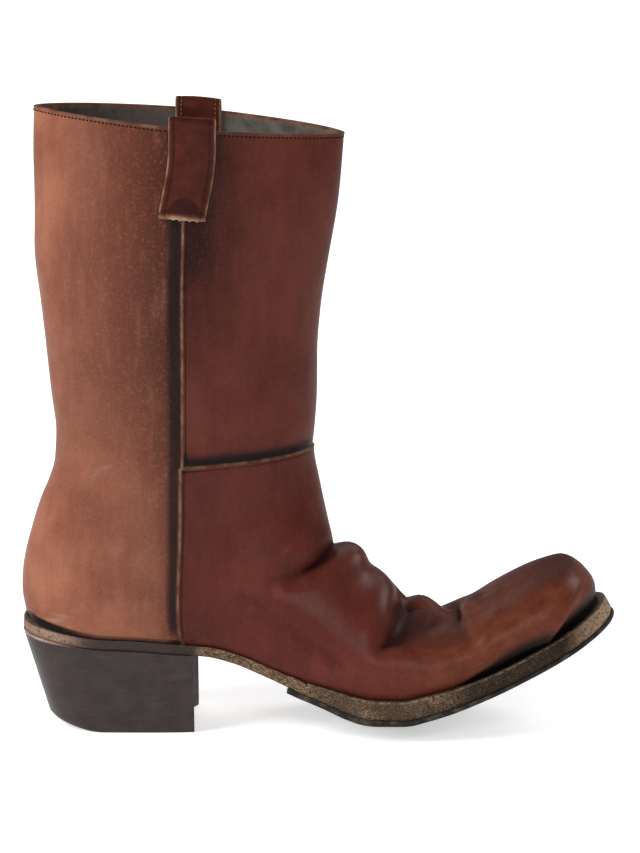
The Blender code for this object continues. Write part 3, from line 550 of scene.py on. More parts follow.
# Creases and ridges of one side: from (x, z) to (x, z) in the side view, height, width, and side.
CREASES = columns("x0 z0 x1 z1 height width side", [
    (0.168, 0.0955, 0.150, 0.0880, -0.0030, 0.0050, -1), (0.150, 0.0870, 0.132, 0.0840, -0.0012, 0.0060, -1),
    (0.163, 0.1000, 0.140, 0.0960, 0.0012, 0.0060, -1), (0.207, 0.0660, 0.188, 0.0500, -0.0052, 0.0072, -1),
    (0.216, 0.0640, 0.206, 0.0560, 0.0008, 0.0055, -1), (0.190, 0.0750, 0.178, 0.0560, 0.0014, 0.0050, -1),
    (0.212, 0.0600, 0.196, 0.0500, -0.0022, 0.0068, -1), (0.226, 0.0610, 0.233, 0.0540, -0.0016, 0.0095, -1),
    (0.244, 0.0700, 0.238, 0.0480, 0.0007, 0.0085, -1), (0.116, 0.0760, 0.166, 0.0420, -0.0014, 0.0070, -1),
    (0.030, 0.1230, 0.048, 0.1400, 0.0013, 0.0055, -1), (0.036, 0.1130, 0.062, 0.1260, -0.0011, 0.0090, -1),
    (0.166, 0.0950, 0.146, 0.0850, -0.0026, 0.0055, 1), (0.204, 0.0660, 0.188, 0.0480, -0.0030, 0.0060, 1),
    (0.226, 0.0640, 0.214, 0.0480, -0.0020, 0.0050, 1), (0.034, 0.1260, 0.060, 0.1340, -0.0012, 0.0080, 1)])


def fold_heights():
    """Ridges and troughs over the vamp: bells across the sections that fade down the sides."""
    place = (ends["x1"] / LENGTH)[:, None]
    height = np.zeros((row_count, column_count))
    for fold in range(len(FOLDS["place"])):
        over = bell(place, FOLDS["place"][fold], FOLDS["width"][fold]) * (ends["up"] < 0.05)[:, None]
        aside = from_front[None, :] * len(from_front) / 2.0 / FRONT_COLUMNS
        fade = bell(aside, FOLDS["side"][fold], FOLDS["reach"][fold])
        by_side = np.where(on_medial, FOLDS["medial"][fold], 1.0)[None, :]
        height += FOLDS["height"][fold] * over * fade * by_side
    return height


def crease_heights(grid):
    """Soft troughs and ridges along short lines of the side view, thinner towards both their ends."""
    height = np.zeros(grid.shape[:2])
    for crease in range(len(CREASES["x0"])):
        row = {key: CREASES[key][crease] for key in CREASES}
        run_x, run_z = row["x1"] - row["x0"], row["z1"] - row["z0"]
        length = math.hypot(run_x, run_z)
        off_x, off_z = grid[..., 0] - row["x0"], grid[..., 2] - row["z0"]
        along = (off_x * run_x + off_z * run_z) / length ** 2
        beside = (off_x * run_z - off_z * run_x) / length
        past = np.maximum(np.abs(along - 0.5) - 0.5, 0.0) * length
        width = row["width"] * (0.55 + 0.45 * np.clip(1.0 - (2.0 * along - 1.0) ** 2, 0.0, 1.0))
        on_side = smoothstep(row["side"] * grid[..., 1], -0.004, 0.008)
        height += row["height"] * bell(beside, 0.0, width) * bell(past, 0.0, 0.7 * row["width"]) * on_side
    return height


def slow_waves(grid):
    """The slight unevenness of worn leather: a few long crossing waves, stronger up the shaft."""
    x, y, z = grid[..., 0], grid[..., 1], grid[..., 2]
    waves = np.sin(61.0 * x + 23.0 * z + 1.3) * np.sin(37.0 * z - 29.0 * y + 0.4)
    waves = waves + 0.6 * np.sin(97.0 * x - 41.0 * z + 2.1) * np.sin(83.0 * y + 51.0 * z)
    return 0.00045 * waves * smoothstep(z, 0.06, 0.20) * smoothstep(-z, -0.32, -0.29)


creasing = crease_heights(inner)
folding = fold_heights()
inner = inner + grid_normals(inner) * (folding + creasing + slow_waves(inner))[:, :, None]
normals = grid_normals(inner)

# Where the panels lap, measured from the seams in metres
past_side = inner[..., 0] - read(SEAM_LINE, "place", inner[..., 2])
lap_row = seat_row + int(np.abs(shaft_up - VAMP_SEAM_UP).argmin())
below_lap = inner[lap_row, :, 2][None, :] - inner[..., 2]
past_side = past_side + 0.0008 * smoothstep(below_lap, 0.0, 0.0006)
in_front = smoothstep(past_side, -0.0007, 0.0003)
on_vamp = in_front * smoothstep(below_lap, -0.0007, 0.0003)
toward_toe = smoothstep(inner[..., 0] / LENGTH, 0.55, 0.80) * smoothstep(-inner[..., 2], -0.10, -0.09)
seam_bead = bell(past_side, 0.0002, 0.0006) + in_front * bell(below_lap, 0.0002, 0.0006)
stitch_groove = bell(past_side, 0.0017, 0.0005) + in_front * bell(below_lap, 0.0018, 0.0005)
stitch_groove = stitch_groove * smoothstep(-toward_toe, -0.5, 0.0)
back_seam = np.exp(-from_end / 1.2)[None, :] * (ends["up"] > 0.0)[:, None]
back_seam = back_seam * smoothstep(inner[..., 2], 0.052, 0.07)
thickness = WALL + PANEL_STEP * in_front + VAMP_STEP * on_vamp * (1.0 - toward_toe)
thickness = thickness + 0.00025 * seam_bead - 0.00022 * stitch_groove + 0.0007 * back_seam
rim_drop = inner[-1, :, 2][None, :] - inner[..., 2]
thickness = thickness + 0.0003 * bell(rim_drop, 0.0, 0.0015) - 0.0002 * bell(rim_drop, COLLAR_STITCH, 0.0006)
outer = inner + normals * thickness[:, :, None]


def paint(mesh, **shares):
    """Puts values on the mesh, one for each vertex."""
    for name, values in shares.items():
        layer = mesh.attributes.new(name, "FLOAT", "POINT")
        layer.data.foreach_set("value", np.ascontiguousarray(values, np.float32).ravel())


def make_piece(name, points, faces, finish, slot, nodes, smooth=38.0, merge=1e-6, **shares):
    """A mesh piece in the boot's own place, with doubles merged, riding on the one body."""
    mesh = bpy.data.meshes.new(name)
    mesh.from_pydata((points + STAND).tolist(), [], faces)
    paint(mesh, **shares)
    if merge:
        shell = bmesh.new()
        shell.from_mesh(mesh)
        bmesh.ops.remove_doubles(shell, verts=shell.verts, dist=merge)
        bmesh.ops.dissolve_degenerate(shell, edges=shell.edges, dist=1e-7)
        shell.to_mesh(mesh)
        shell.free()
    mesh.shade_smooth()
    mesh.set_sharp_from_angle(angle=math.radians(smooth))
    mesh.materials.append(finish)
    piece = bpy.data.objects.new(name, mesh)
    bpy.context.scene.collection.objects.link(piece)
    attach(piece, "root")
    if nodes:
        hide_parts(*nodes)
    return piece


def upper_shell():
    """The wall as one closed skin: outer face, inner face, the collar's edge and the edge on the sole.

    Outer and inner grids have the same rows and columns. The rows of the shaft close on themselves
    at the centre back; the rows of the foot end on the feather line.
    """
    foot = slice(0, seat_row + 1)
    lip_rows = []
    for face in (outer, inner):
        rim = np.concatenate([face[foot, 0][::-1], face[0, 1:-1], face[foot, -1]])
        rim_in = np.concatenate([inner[foot, 0][::-1], inner[0, 1:-1], inner[foot, -1]])
        tilt = sole_tilt(rim_in[:, 0])
        down = np.stack([LIP * np.sin(tilt), 0.0 * tilt, -LIP * np.cos(tilt)], axis=-1)
        lip_rows.append(rim + down * 0.93)
    count = row_count * column_count
    index = np.arange(count).reshape(row_count, column_count)
    closed = index.copy()
    closed[seat_row:, -1] = index[seat_row:, 0]
    quads = np.stack([closed[:-1, :-1], closed[:-1, 1:], closed[1:, 1:], closed[1:, :-1]], axis=-1)
    quads = quads.reshape(-1, 4)
    rim = np.concatenate([index[foot, 0][::-1], index[0, 1:-1], closed[foot, -1]])
    lip = 2 * count + np.arange(len(rim))
    lip_in = lip + len(rim)
    lip[-1], lip_in[-1] = lip[0], lip_in[0]
    collar = closed[-1]
    faces = [quads, quads[:, ::-1] + count]
    faces.append(np.stack([collar[:-1], collar[1:], collar[1:] + count, collar[:-1] + count], axis=-1))
    faces.append(np.stack([rim[:-1], lip[:-1], lip[1:], rim[1:]], axis=-1))
    faces.append(np.stack([lip[:-1], lip_in[:-1], lip_in[1:], lip[1:]], axis=-1))
    faces.append(np.stack([lip_in[:-1], rim[:-1] + count, rim[1:] + count, lip_in[1:]], axis=-1))
    faces = np.concatenate(faces)
    faces = [list(dict.fromkeys(face)) for face in faces.tolist()]
    points = np.concatenate([outer.reshape(-1, 3), inner.reshape(-1, 3), lip_rows[0], lip_rows[1]])
    return points, [face for face in faces if len(face) > 2], len(rim)


def upper_finish():
    """Brown leather: tones of the panels, burnish, painted shade and glints, raw edges and lining from the
    painted shares.
    """
    leather = Finish("upper_leather")
    at = leather.place()
    streaks = leather.noise(leather.place((1.0, 1.0, 0.22)), 150.0, 5.0, 0.55)
    clouds = leather.noise(at, 22.0, 3.0, 0.55)
    mottle = leather.noise(at, 120.0, 4.0, 0.6)
    grain = leather.noise(at, 1500.0, 2.0, 0.6)
    pores = leather.node("TexVoronoi", {"feature": "DISTANCE_TO_EDGE"}, {"Vector": at, "Scale": 900.0})
    front, vamp = leather.share("front"), leather.share("vamp")
    raw, burnish_and_shade, inside = leather.share("raw"), leather.share("burnish_and_shade"), leather.share("inside")
    fold, toe = leather.share("fold"), leather.share("toe")
    shade, top = leather.share("shade"), leather.share("top")
    cloudy = leather.step(clouds, 0.35, 0.68)
    back_tone = leather.mix(cloudy, tint(114, 68, 51), tint(144, 92, 71))
    front_tone = leather.mix(cloudy, tint(72, 29, 22), tint(86, 42, 33))
    vamp_tone = leather.mix(cloudy, tint(73, 30, 24), tint(84, 38, 31))
    toe_tone = leather.mix(leather.step(mottle, 0.35, 0.68), tint(84, 40, 25), tint(96, 50, 33))
    # Painted shade: the toe's upward faces are darker.
    toe_tone = leather.mix(top, toe_tone, tint(56, 22, 17))
    # Back panel darker towards the side seam: partly patina, partly painted shade.
    colour = leather.mix(leather.share("patina_and_shade"), back_tone, tint(88, 48, 36))
    colour = leather.mix(shade, colour, tint(52, 24, 16))
    colour = leather.mix(front, colour, leather.mix(shade, front_tone, tint(30, 8, 6)))
    vamp_shade = leather.mix(0.7 * shade, vamp_tone, tint(44, 16, 13))
    colour = leather.mix(vamp, colour, leather.mix(toe, vamp_shade, toe_tone))
    lit = leather.mix(front, tint(146, 92, 70), tint(104, 46, 33))
    colour = leather.mix(leather.step(streaks, 0.46, 0.80) * 0.22, colour, lit)
    dull = leather.mix(front, tint(84, 44, 31), tint(44, 16, 12))
    colour = leather.mix(leather.step(streaks, 0.54, 0.20) * 0.26, colour, dull)
    pebble = leather.noise(at, 620.0, 3.0, 0.65)
    # The pebble grain moves the colour towards the lighter and the darker tone: painted glints and shade of
    # the grain.
    colour = leather.mix(leather.step(pebble, 0.50, 0.72) * 0.24, colour, lit)
    colour = leather.mix(leather.step(pebble, 0.50, 0.30) * 0.20, colour, dull)
    # Painted shadow in the folds and creases, and a painted shade patch by the throat.
    colour = leather.mix(leather.step(fold, 0.0, 1.0) * 0.85, colour, tint(34, 13, 11))
    # Nearly black where burnished by the seams and over the toe and heel, and painted shade: a dark line in
    # the joint between upper and sole, and the lip on the sole. The stitch grooves are darkened too.
    colour = leather.mix(leather.step(burnish_and_shade + 0.25 * (mottle - 0.5), 0.15, 0.95), colour, tint(9, 5, 5))
    cut_edge = leather.mix(leather.step(mottle, 0.35, 0.65), tint(70, 44, 32), tint(112, 84, 66))
    colour = leather.mix(raw, colour, cut_edge)
    # The lining: painted shade inside the shaft, darker towards the back, with cloudy darker patches.
    forward = leather.step(leather.node("SeparateXYZ", None, {0: at}), -0.090, -0.015)
    lining_clouds = leather.step(clouds + 0.5 * (mottle - 0.5), 0.36, 0.64)
    lining = leather.mix(forward, leather.mix(lining_clouds, tint(44, 40, 38), tint(84, 76, 72)),
                         leather.mix(lining_clouds, tint(50, 49, 45), tint(94, 92, 86)))
    colour = leather.mix(inside, colour, lining)
    rough = 0.50 + 0.10 * (mottle - 0.5) + 0.25 * raw
    coat = 0.15 * (1.0 - inside) * (1.0 - raw) * (1.0 - 0.8 * top) * (1.0 - 0.7 * fold) * (0.6 + 0.8 * mottle)
    height = 0.35 * grain + 0.5 * leather.step(pores, 0.0, 0.25) + 0.8 * pebble + 1.2 * mottle * (0.45 + raw)
    bump = leather.node("Bump", None, {"Height": height, "Strength": 0.40, "Distance": 0.0005})
    return leather.done(Base_Color=colour, Roughness=rough, Normal=bump, Coat_Weight=coat,
                        Coat_Roughness=0.30, Specular_IOR_Level=0.02)


def upper_shares(lip_count):
    """What is painted on the upper: panels, raw edges, burnish, painted shade by the seams, under the strap,
    along the sole and on the toe's top, fold shadows and the lining.

    Each share is a bell or a soft S of the distance from a seam, from the collar or from the sole.
    """
    band = 0.0060 + 0.0020 * smoothstep(inner[..., 2], 0.05, 0.24)
    burnish_and_shade = 0.76 * smoothstep(past_side, -band - 0.0030, -band + 0.0026) * (past_side < -0.0006)
    burnish_and_shade = burnish_and_shade * smoothstep(inner[..., 2], 0.045, 0.06)
    burnish_and_shade = burnish_and_shade + in_front * bell(below_lap, -0.0008, 0.0060) * (below_lap < -0.0006) * (1.0 - on_vamp)
    # Along the sole: a wide black burnish over the toe, a narrow one round the heel, and elsewhere a thin
    # painted shadow line in the joint between upper and sole.
    toe_burn = smoothstep(inner[..., 0] / LENGTH, 0.70, 0.84) * 0.0062
    heel_burn = smoothstep(-inner[..., 0] / LENGTH, -0.16, -0.03) * 0.0010
    reach = np.maximum(np.maximum(toe_burn, heel_burn), 0.0003)
    foot = slice(0, seat_row + 1)
    rim_line = np.concatenate([inner[foot, 0], inner[0, 1:-1], inner[foot, -1]])
    flat = inner.reshape(-1, 3)
    apart = (flat ** 2).sum(axis=1)[:, None] + (rim_line ** 2).sum(axis=1)[None, :] - 2.0 * flat @ rim_line.T
    from_rim = np.sqrt(np.maximum(apart, 0.0).min(axis=1)).reshape(inner.shape[:2])
    strength = 0.5 + 0.7 * smoothstep(toe_burn + 2.0 * heel_burn, 0.0, 0.0030)
    burnish_and_shade = burnish_and_shade + strength * smoothstep(-from_rim, -2.0 * reach - 0.0006, -0.2 * reach)
    toward_collar = smoothstep(inner[..., 2], 0.02, 0.26)
    shade = bell(past_side, 0.0, 0.014 + 0.012 * toward_collar) * (0.55 + 0.45 * toward_collar)
    near_strap = smoothstep(inner[..., 2], 0.20, 0.26) + 0.7 * on_vamp
    under_strap = np.where(past_side > 0.0, 0.25 + 0.85 * near_strap, 1.0)
    shade = shade * under_strap
    # Darker towards the side seam, more so up the shaft: partly patina, partly painted shade.
    patina_and_shade = smoothstep(past_side, -0.085, -0.026) * (0.22 + 0.78 * toward_collar)
    raw = np.clip(seam_bead * 1.2, 0.0, 1.0) * (np.maximum(in_front, on_vamp) < 0.985)
    raw = np.maximum(raw, bell(past_side, -0.0001, 0.0006) * (inner[..., 2] > 0.045))
    raw = np.maximum(raw, in_front * bell(below_lap, -0.0001, 0.0006)) * (1.0 - toward_toe)
    raw = np.maximum(raw, smoothstep(-rim_drop, -0.0012, -0.0004) * (0.8 - 0.5 * in_front))
    burnish_and_shade = burnish_and_shade + 0.8 * stitch_groove
    # A painted shade patch by the throat, added to the fold shadow.
    throat_shade = bell(inner[..., 0], 0.1522, 0.005) * bell(inner[..., 2], 0.1035, 0.008) * (~on_medial)
    shares = {
        "front": in_front, "vamp": on_vamp, "raw": raw, "burnish_and_shade": np.clip(burnish_and_shade, 0.0, 1.4),
        "fold": np.clip(-(folding + creasing) / 0.0050 + 0.5 * throat_shade, 0.0, 1.0), "toe": toward_toe,
        # top: painted shade on the toe's upward faces.
        "top": smoothstep(normals[..., 2], 0.78, 0.98) * toward_toe, "shade": shade, "patina_and_shade": patina_and_shade}
    unseen = np.zeros(lip_count)
    packed = {}
    for name, values in shares.items():
        rim = np.concatenate([values[foot, 0][::-1], values[0, 1:-1], values[foot, -1]])
        # The lip standing on the sole is painted black: painted shade in the joint.
        rim = np.maximum(rim, 1.0) if name == "burnish_and_shade" else rim
        packed[name] = np.concatenate([values.ravel(), 0.0 * values.ravel(), rim, unseen])
    inner_raw = smoothstep(-rim_drop, -0.0008, -0.0003).ravel()
    packed["raw"][row_count * column_count:2 * row_count * column_count] = inner_raw
    outside = np.zeros(row_count * column_count)
    packed["inside"] = np.concatenate([outside, 1.0 - inner_raw, unseen, unseen + 1.0])
    return packed


shell_points, shell_faces, lip_size = upper_shell()
UPPER_LEATHER = upper_finish()
make_piece("upper_leather", shell_points, shell_faces, UPPER_LEATHER, "upper_leather", ["upper"],
           smooth=60.0, merge=None, **upper_shares(lip_size))

# The stitching
# Waxed dark thread, about eleven stitches to the inch, in a groove just inside each raw edge: down
# both side seams, over the top of the vamp, and round the collar.

PITCH = 0.0022
STITCH_LONG = 0.00155
STITCH_WIDE = 0.00062


def tidy_path(points, step):
    """A polyline resampled so that its points lie step apart."""
    run = np.concatenate([[0.0], np.cumsum(np.linalg.norm(np.diff(points, axis=0), axis=1))])
    count = max(int(run[-1] / step), 2)
    at = np.linspace(0.0, run[-1], count)
    return np.stack([np.interp(at, run, points[:, axis]) for axis in range(3)], axis=-1)


def stitch_run(path, out, sink=0.0002, long=STITCH_LONG, wide=STITCH_WIDE):
    """Points of the stitches along a path: each a rounded grain of thread that dips at both ends.

    path gives the line and out the directions away from the leather, both as rows of three.
    """
    spots = tidy_path(path, PITCH)
    away = np.stack([np.interp(np.linspace(0, 1, len(spots)), np.linspace(0, 1, len(out)), out[:, axis])
                     for axis in range(3)], axis=-1)
    away /= np.linalg.norm(away, axis=-1, keepdims=True)
    ahead = np.gradient(spots, axis=0)
    ahead /= np.linalg.norm(ahead, axis=-1, keepdims=True)
    aside = np.cross(ahead, away)
    around = np.linspace(0.0, 2.0 * math.pi, 6, endpoint=False)
    along = np.array([-1.0, -0.72, 0.0, 0.72, 1.0])
    girth = np.array([0.25, 0.8, 1.0, 0.8, 0.25])
    dip = np.array([-0.8, -0.25, 0.15, -0.25, -0.8])
    s = along[:, None] * long / 2.0 + 0.0 * around[None, :]
    a = girth[:, None] * np.cos(around)[None, :] * wide / 2.0
    h = girth[:, None] * np.sin(around)[None, :] * wide / 2.0 + dip[:, None] * wide / 2.0 - sink
    grains = (spots[:, None, None, :] + s[None, :, :, None] * ahead[:, None, None, :]
              + a[None, :, :, None] * aside[:, None, None, :] + h[None, :, :, None] * away[:, None, None, :])
    return grains.reshape(-1, 3)


def join_runs(*runs):
    """Runs of stitches as one set of points and faces: each stitch is five rings of six points."""
    points = np.concatenate(runs)
    index = np.arange(30).reshape(5, 6)
    turned = np.roll(index, -1, axis=1)
    quads = np.stack([index[:-1], turned[:-1], turned[1:], index[1:]], axis=-1).reshape(-1, 4)
    caps = np.stack([index[0, ::-1], index[-1]])
    shift = np.arange(0, len(points), index.size)[:, None, None]
    return points, (quads + shift).reshape(-1, 4).tolist() + (caps + shift).reshape(-1, 6).tolist()


def thread_finish(name, colour):
    """Waxed thread with a fine twist."""
    thread = Finish(name)
    twist = thread.noise(thread.place(), 2600.0, 2.0)
    bump = thread.node("Bump", None, {"Height": twist, "Strength": 0.4, "Distance": 0.0002})
    dark = tuple(0.55 * value for value in colour[:3]) + (1.0,)
    colour = thread.mix(thread.step(twist, 0.35, 0.65), dark, colour)
    return thread.done(Base_Color=colour, Roughness=0.62, Normal=bump, Specular_IOR_Level=0.05)


DARK_THREAD = thread_finish("dark_thread", tint(38, 19, 14))
LIGHT_THREAD = thread_finish("light_thread", tint(140, 96, 66))

seam_lateral = BACK_COLUMNS + STITCH_COLUMN
seam_medial = column_count - 1 - seam_lateral
first_row = int(np.argmin(np.abs(foot_start - (SEAM_AT - 0.0012))))
over = slice(seam_lateral + 1, seam_medial)
vamp_row = seat_row + int(np.abs(shaft_up - (VAMP_SEAM_UP + SEAM_ROWS[STITCH_ROW])).argmin())
side_runs = []
for column in (seam_lateral, seam_medial):
    side_runs.append(stitch_run(outer[first_row + 1:-2, column], normals[first_row + 1:-2, column]))
side_runs.append(stitch_run(outer[vamp_row, over], normals[vamp_row, over]))
make_piece("seam_stitches", *join_runs(*side_runs), DARK_THREAD, "upper_leather", [], merge=None)


def on_collar(down, inside):
    """The line round the collar a given way down, on the outer or the inner face, and its directions."""
    face = inner if inside else outer
    share = np.clip(down / np.maximum(face[-1, :, 2] - face[-4, :, 2], 1e-6), 0.0, 1.0)[:, None] * 3.0
    low, part = np.floor(share).astype(int), share % 1.0
    column = np.arange(column_count)
    at = face[-1 - low[:, 0], column] * (1.0 - part) + face[-2 - low[:, 0], column] * part
    return at, normals[-1] * (-1.0 if inside else 1.0)


collar_run = stitch_run(*on_collar(COLLAR_STITCH, False), 0.0, 0.0016, 0.0010)
make_piece("collar_stitches", *join_runs(collar_run), DARK_THREAD, "upper_leather", [], merge=None)
lining_run = stitch_run(*on_collar(0.0023, True))
make_piece("lining_stitches", *join_runs(lining_run), LIGHT_THREAD, "upper_leather", [], merge=None)


# The pull straps
# Doubled leather, cut raw: each is sewn down outside the shaft, loops a few millimetres over the
# collar and is sewn inside. Stitches run up both its edges, and a half-moon holds its lower end.

STRAP_WIDTH = 0.0232
STRAP_THICK = 0.0025
STRAP_DROP = 0.0443
STRAP_INSIDE = 0.036
STRAP_LEAN = 0.096
STRAP_MIDDLE = SEAM_AT + 0.0070
STRAP_ACROSS = 25
STRAP_STITCH = 0.0026
STRAP_HEM = 0.0030
STRAP_EDGE = 0.00035
MOON_WIDE = 0.0070
MOON_TALL = 0.0075


def wall_side(face, x, z, sign):
    """How far out the wall stands at (x, z): the mean of the face's points there, the near ones most."""
    half = slice(0, (column_count + 1) // 2) if sign < 0 else slice(column_count // 2, column_count)
    points = face[seat_row + 40:, half].reshape(-1, 3)
    points = points[points[:, 2] > 0.20]
    points = points[np.abs(points[:, 0] - STRAP_MIDDLE) < 0.04]
    near = (x.reshape(-1, 1) - points[None, :, 0]) ** 2 + (z.reshape(-1, 1) - points[None, :, 2]) ** 2
    near = np.exp(-near / (2.0 * 0.0022 ** 2)) + 1e-30
    return (near @ points[:, 1] / near.sum(axis=1)).reshape(x.shape)


def strap_middle(sign):
    """The band's middle sheet: up the outside, in a half circle over the collar and down the inside."""
    across = np.linspace(-0.5, 0.5, STRAP_ACROSS)[None, :] * STRAP_WIDTH
    column = np.arange(column_count // 2) if sign < 0 else np.arange(column_count // 2, column_count)
    rim_x, rim_z = outer[-1, column, 0], outer[-1, column, 2]
    order = np.argsort(rim_x)
    x_top = STRAP_MIDDLE + across
    rim = np.interp(x_top, rim_x[order], rim_z[order])
    down = np.linspace(STRAP_DROP, 0.0, 62)[:, None]
    x_out = x_top - STRAP_LEAN * down + 0.0012 * np.sin(down * 95.0)
    z_out = rim - 0.0004 - down
    y_out = sign * (np.abs(wall_side(outer, x_out, z_out, sign)) + STRAP_THICK / 2.0 + 0.0002)
    y_out = y_out + sign * 0.0010 * bell(down, 0.010, 0.012)
    down_in = np.linspace(0.0, STRAP_INSIDE, 24)[:, None]
    x_in, z_in = x_top + 0.0 * down_in, rim - 0.0004 - down_in
    y_in = sign * (np.abs(wall_side(inner, x_in, z_in, sign)) - STRAP_THICK / 2.0 - 0.0002)
    middle, reach = (y_out[-1:] + y_in[:1]) / 2.0, np.abs(y_out[-1:] - y_in[:1]) / 2.0
    angle = np.linspace(0.0, math.pi, 15)[1:-1, None]
    x_over = x_top + 0.0 * angle
    y_over = middle + sign * reach * np.cos(angle)
    z_over = rim - 0.0004 + (reach + 0.0022) * np.sin(angle)
    return np.stack([np.concatenate([x_out, x_over, x_in]), np.concatenate([y_out, y_over, y_in]),
                     np.concatenate([z_out, z_over, z_in])], axis=-1)


def strap_piece(side, sign, thread):
    """The band round its middle sheet: two faces, rounded raw edges, and frayed ends."""
    sheet = strap_middle(sign)
    rows = len(sheet)
    ahead, across = np.gradient(sheet, axis=0), np.gradient(sheet, axis=1)
    out = np.cross(ahead, across) * -sign
    out /= np.linalg.norm(out, axis=-1, keepdims=True)
    if (out[10, 12] * np.array([0.0, sign, 0.0])).sum() < 0:
        out = -out
    along = np.concatenate([[0.0], np.cumsum(np.linalg.norm(np.diff(sheet[:, 12], axis=0), axis=1))])
    beside = np.linspace(-0.5, 0.5, STRAP_ACROSS) * STRAP_WIDTH
    to_edge = STRAP_WIDTH / 2.0 - np.abs(beside)[None, :]
    from_end = along[:, None]
    moon = np.hypot(beside[None, :] / MOON_WIDE, (from_end - STRAP_HEM) / MOON_TALL)
    in_moon = (from_end > STRAP_HEM) * smoothstep(-moon, -1.05, -0.92)
    groove = bell(to_edge, STRAP_STITCH, 0.0006) + bell(from_end, STRAP_HEM, 0.0006)
    groove = groove + bell(moon, 1.0, 0.09) * (from_end > STRAP_HEM)
    lift = STRAP_THICK / 2.0 - 0.0003 * bell(to_edge, 0.0, 0.0011) - 0.00025 * np.clip(groove, 0.0, 1.0)
    lift = lift + 0.0003 * in_moon
    low = -STRAP_THICK / 2.0 + 0.0002 * bell(to_edge, 0.0, 0.0010)
    fray = 0.0007 * np.sin(beside * 1900.0) * np.sin(beside * 730.0 + sign)
    fray = fray + 0.0005 * np.sin(beside * 410.0 + 1.0)
    sheet = sheet.copy()
    sheet[0, :, 2] -= np.abs(fray) + 0.0004
    front = sheet + out * lift[..., None]
    back = sheet + out * (low + 0.0 * lift)[..., None]
    outward = across / np.linalg.norm(across, axis=-1, keepdims=True) * STRAP_EDGE
    rim_left, rim_right = sheet[:, :1] - outward[:, :1], sheet[:, -1:] + outward[:, -1:]
    loop = np.concatenate([front, rim_right, back[:, ::-1], rim_left], axis=1)
    size = loop.shape[1]
    index = np.arange(rows * size).reshape(rows, size)
    turned = np.roll(index, -1, axis=1)
    faces = np.stack([index[:-1], turned[:-1], turned[1:], index[1:]], axis=-1).reshape(-1, 4).tolist()
    for row, flip in ((0, 1), (rows - 1, -1)):
        ring = index[row]
        front_ring, back_ring = ring[:STRAP_ACROSS], ring[STRAP_ACROSS + 1:2 * STRAP_ACROSS + 1][::-1]
        cap = np.stack([front_ring[:-1], back_ring[:-1], back_ring[1:], front_ring[1:]], axis=-1)
        corners = np.array([[ring[-1], back_ring[0], front_ring[0]],
                            [ring[STRAP_ACROSS], front_ring[-1], back_ring[-1]]])
        faces += [face[::flip] for face in cap.tolist() + corners.tolist()]
    points = loop.reshape(-1, 3)
    facing = np.cross(across[10, 12], ahead[10, 12]) @ out[10, 12]
    if facing < 0:
        faces = [face[::-1] for face in faces]
    raw = np.zeros((rows, size))
    raw[:, [STRAP_ACROSS, size - 1]] = 1.0
    raw[:, [0, STRAP_ACROSS - 1]] = 0.55
    raw[0] = 0.9
    raw[1] = 0.5
    raw[2] = 0.15
    moon_share = np.zeros((rows, size))
    moon_share[:, :STRAP_ACROSS] = in_moon
    dark = np.zeros((rows, size))
    dark[:, :STRAP_ACROSS] = np.clip(groove, 0.0, 1.0)
    make_piece("pull_strap_leather_" + side, points, faces, STRAP_LEATHER, "upper_leather",
               ["pull_strap_" + side], merge=None, raw=raw, moon=moon_share, groove=dark)
    runs = []
    inset = STRAP_STITCH / STRAP_WIDTH * (STRAP_ACROSS - 1)
    for place in (inset, STRAP_ACROSS - 1 - inset):
        left, part = int(place), place % 1.0
        line = front[:, left] * (1.0 - part) + front[:, left + 1] * part
        runs.append(stitch_run(line[2:-1], out[2:-1, left], 0.0001))
    hem = int(np.argmin(np.abs(along - STRAP_HEM)))
    runs.append(stitch_run(front[hem, 3:-3], out[hem, 3:-3], 0.0001))
    make_piece("strap_stitches_" + side, *join_runs(*runs), thread, "upper_leather", [], merge=None)


def strap_finish():
    """The same leather as the front panel, darker in the half-moon and grooves, pale where it is cut."""
    leather = Finish("strap_leather")
    at = leather.place()
    mottle = leather.noise(at, 130.0, 4.0, 0.6)
    grain = leather.noise(at, 1500.0, 2.0, 0.6)
    raw, moon, groove = leather.share("raw"), leather.share("moon"), leather.share("groove")
    colour = leather.mix(leather.step(mottle, 0.3, 0.7), tint(54, 20, 15), tint(68, 29, 22))
    colour = leather.mix(moon * 0.85, colour, tint(40, 14, 10))
    colour = leather.mix(groove * 0.8, colour, tint(38, 16, 12))
    edge = leather.mix(leather.step(mottle, 0.35, 0.65), tint(104, 78, 60), tint(158, 128, 104))
    colour = leather.mix(raw, colour, edge)
    height = 0.4 * grain + mottle * (0.6 + raw)
    bump = leather.node("Bump", None, {"Height": height, "Strength": 0.25, "Distance": 0.0003})
    rough = 0.5 + 0.12 * (mottle - 0.5) + 0.3 * raw
    return leather.done(Base_Color=colour, Roughness=rough, Normal=bump, Coat_Weight=0.08 * (1.0 - raw),
                        Coat_Roughness=0.36, Specular_IOR_Level=0.02)


STRAP_LEATHER = strap_finish()
strap_piece("lateral", -1.0, DARK_THREAD)
strap_piece("medial", 1.0, LIGHT_THREAD)


# The sole
# A leather sole from heel to toe, a leather welt round the forefoot that the upper is sewn to, and
# a thin rubber half sole glued under the ball. Their edges are sanded, stained and worn.

SOLE_ROWS = 150
WELT_START = 0.149
HALF_SOLE_START = 0.141
WELT_RAMP = 0.003
SOLE_END = LENGTH * PLAN_END
TOP_SHARES = np.sin(np.linspace(-0.5, 0.5, 25) * math.pi)


def sole_point(x, half, full, depth):
    """A point of the sole: half is its sideways place, full the plan's half width, depth below the top."""
    tilt = sole_tilt(x)
    middle = 1.0 - smoothstep(np.abs(half) / np.maximum(full, 1e-4), 0.30, 0.85)
    height = feather_height(x) - CAMBER * read(PROFILE, "camber", x / LENGTH) * middle
    return np.stack([x + depth * np.sin(tilt), swing(x) + half, height - depth * np.cos(tilt)], axis=-1)


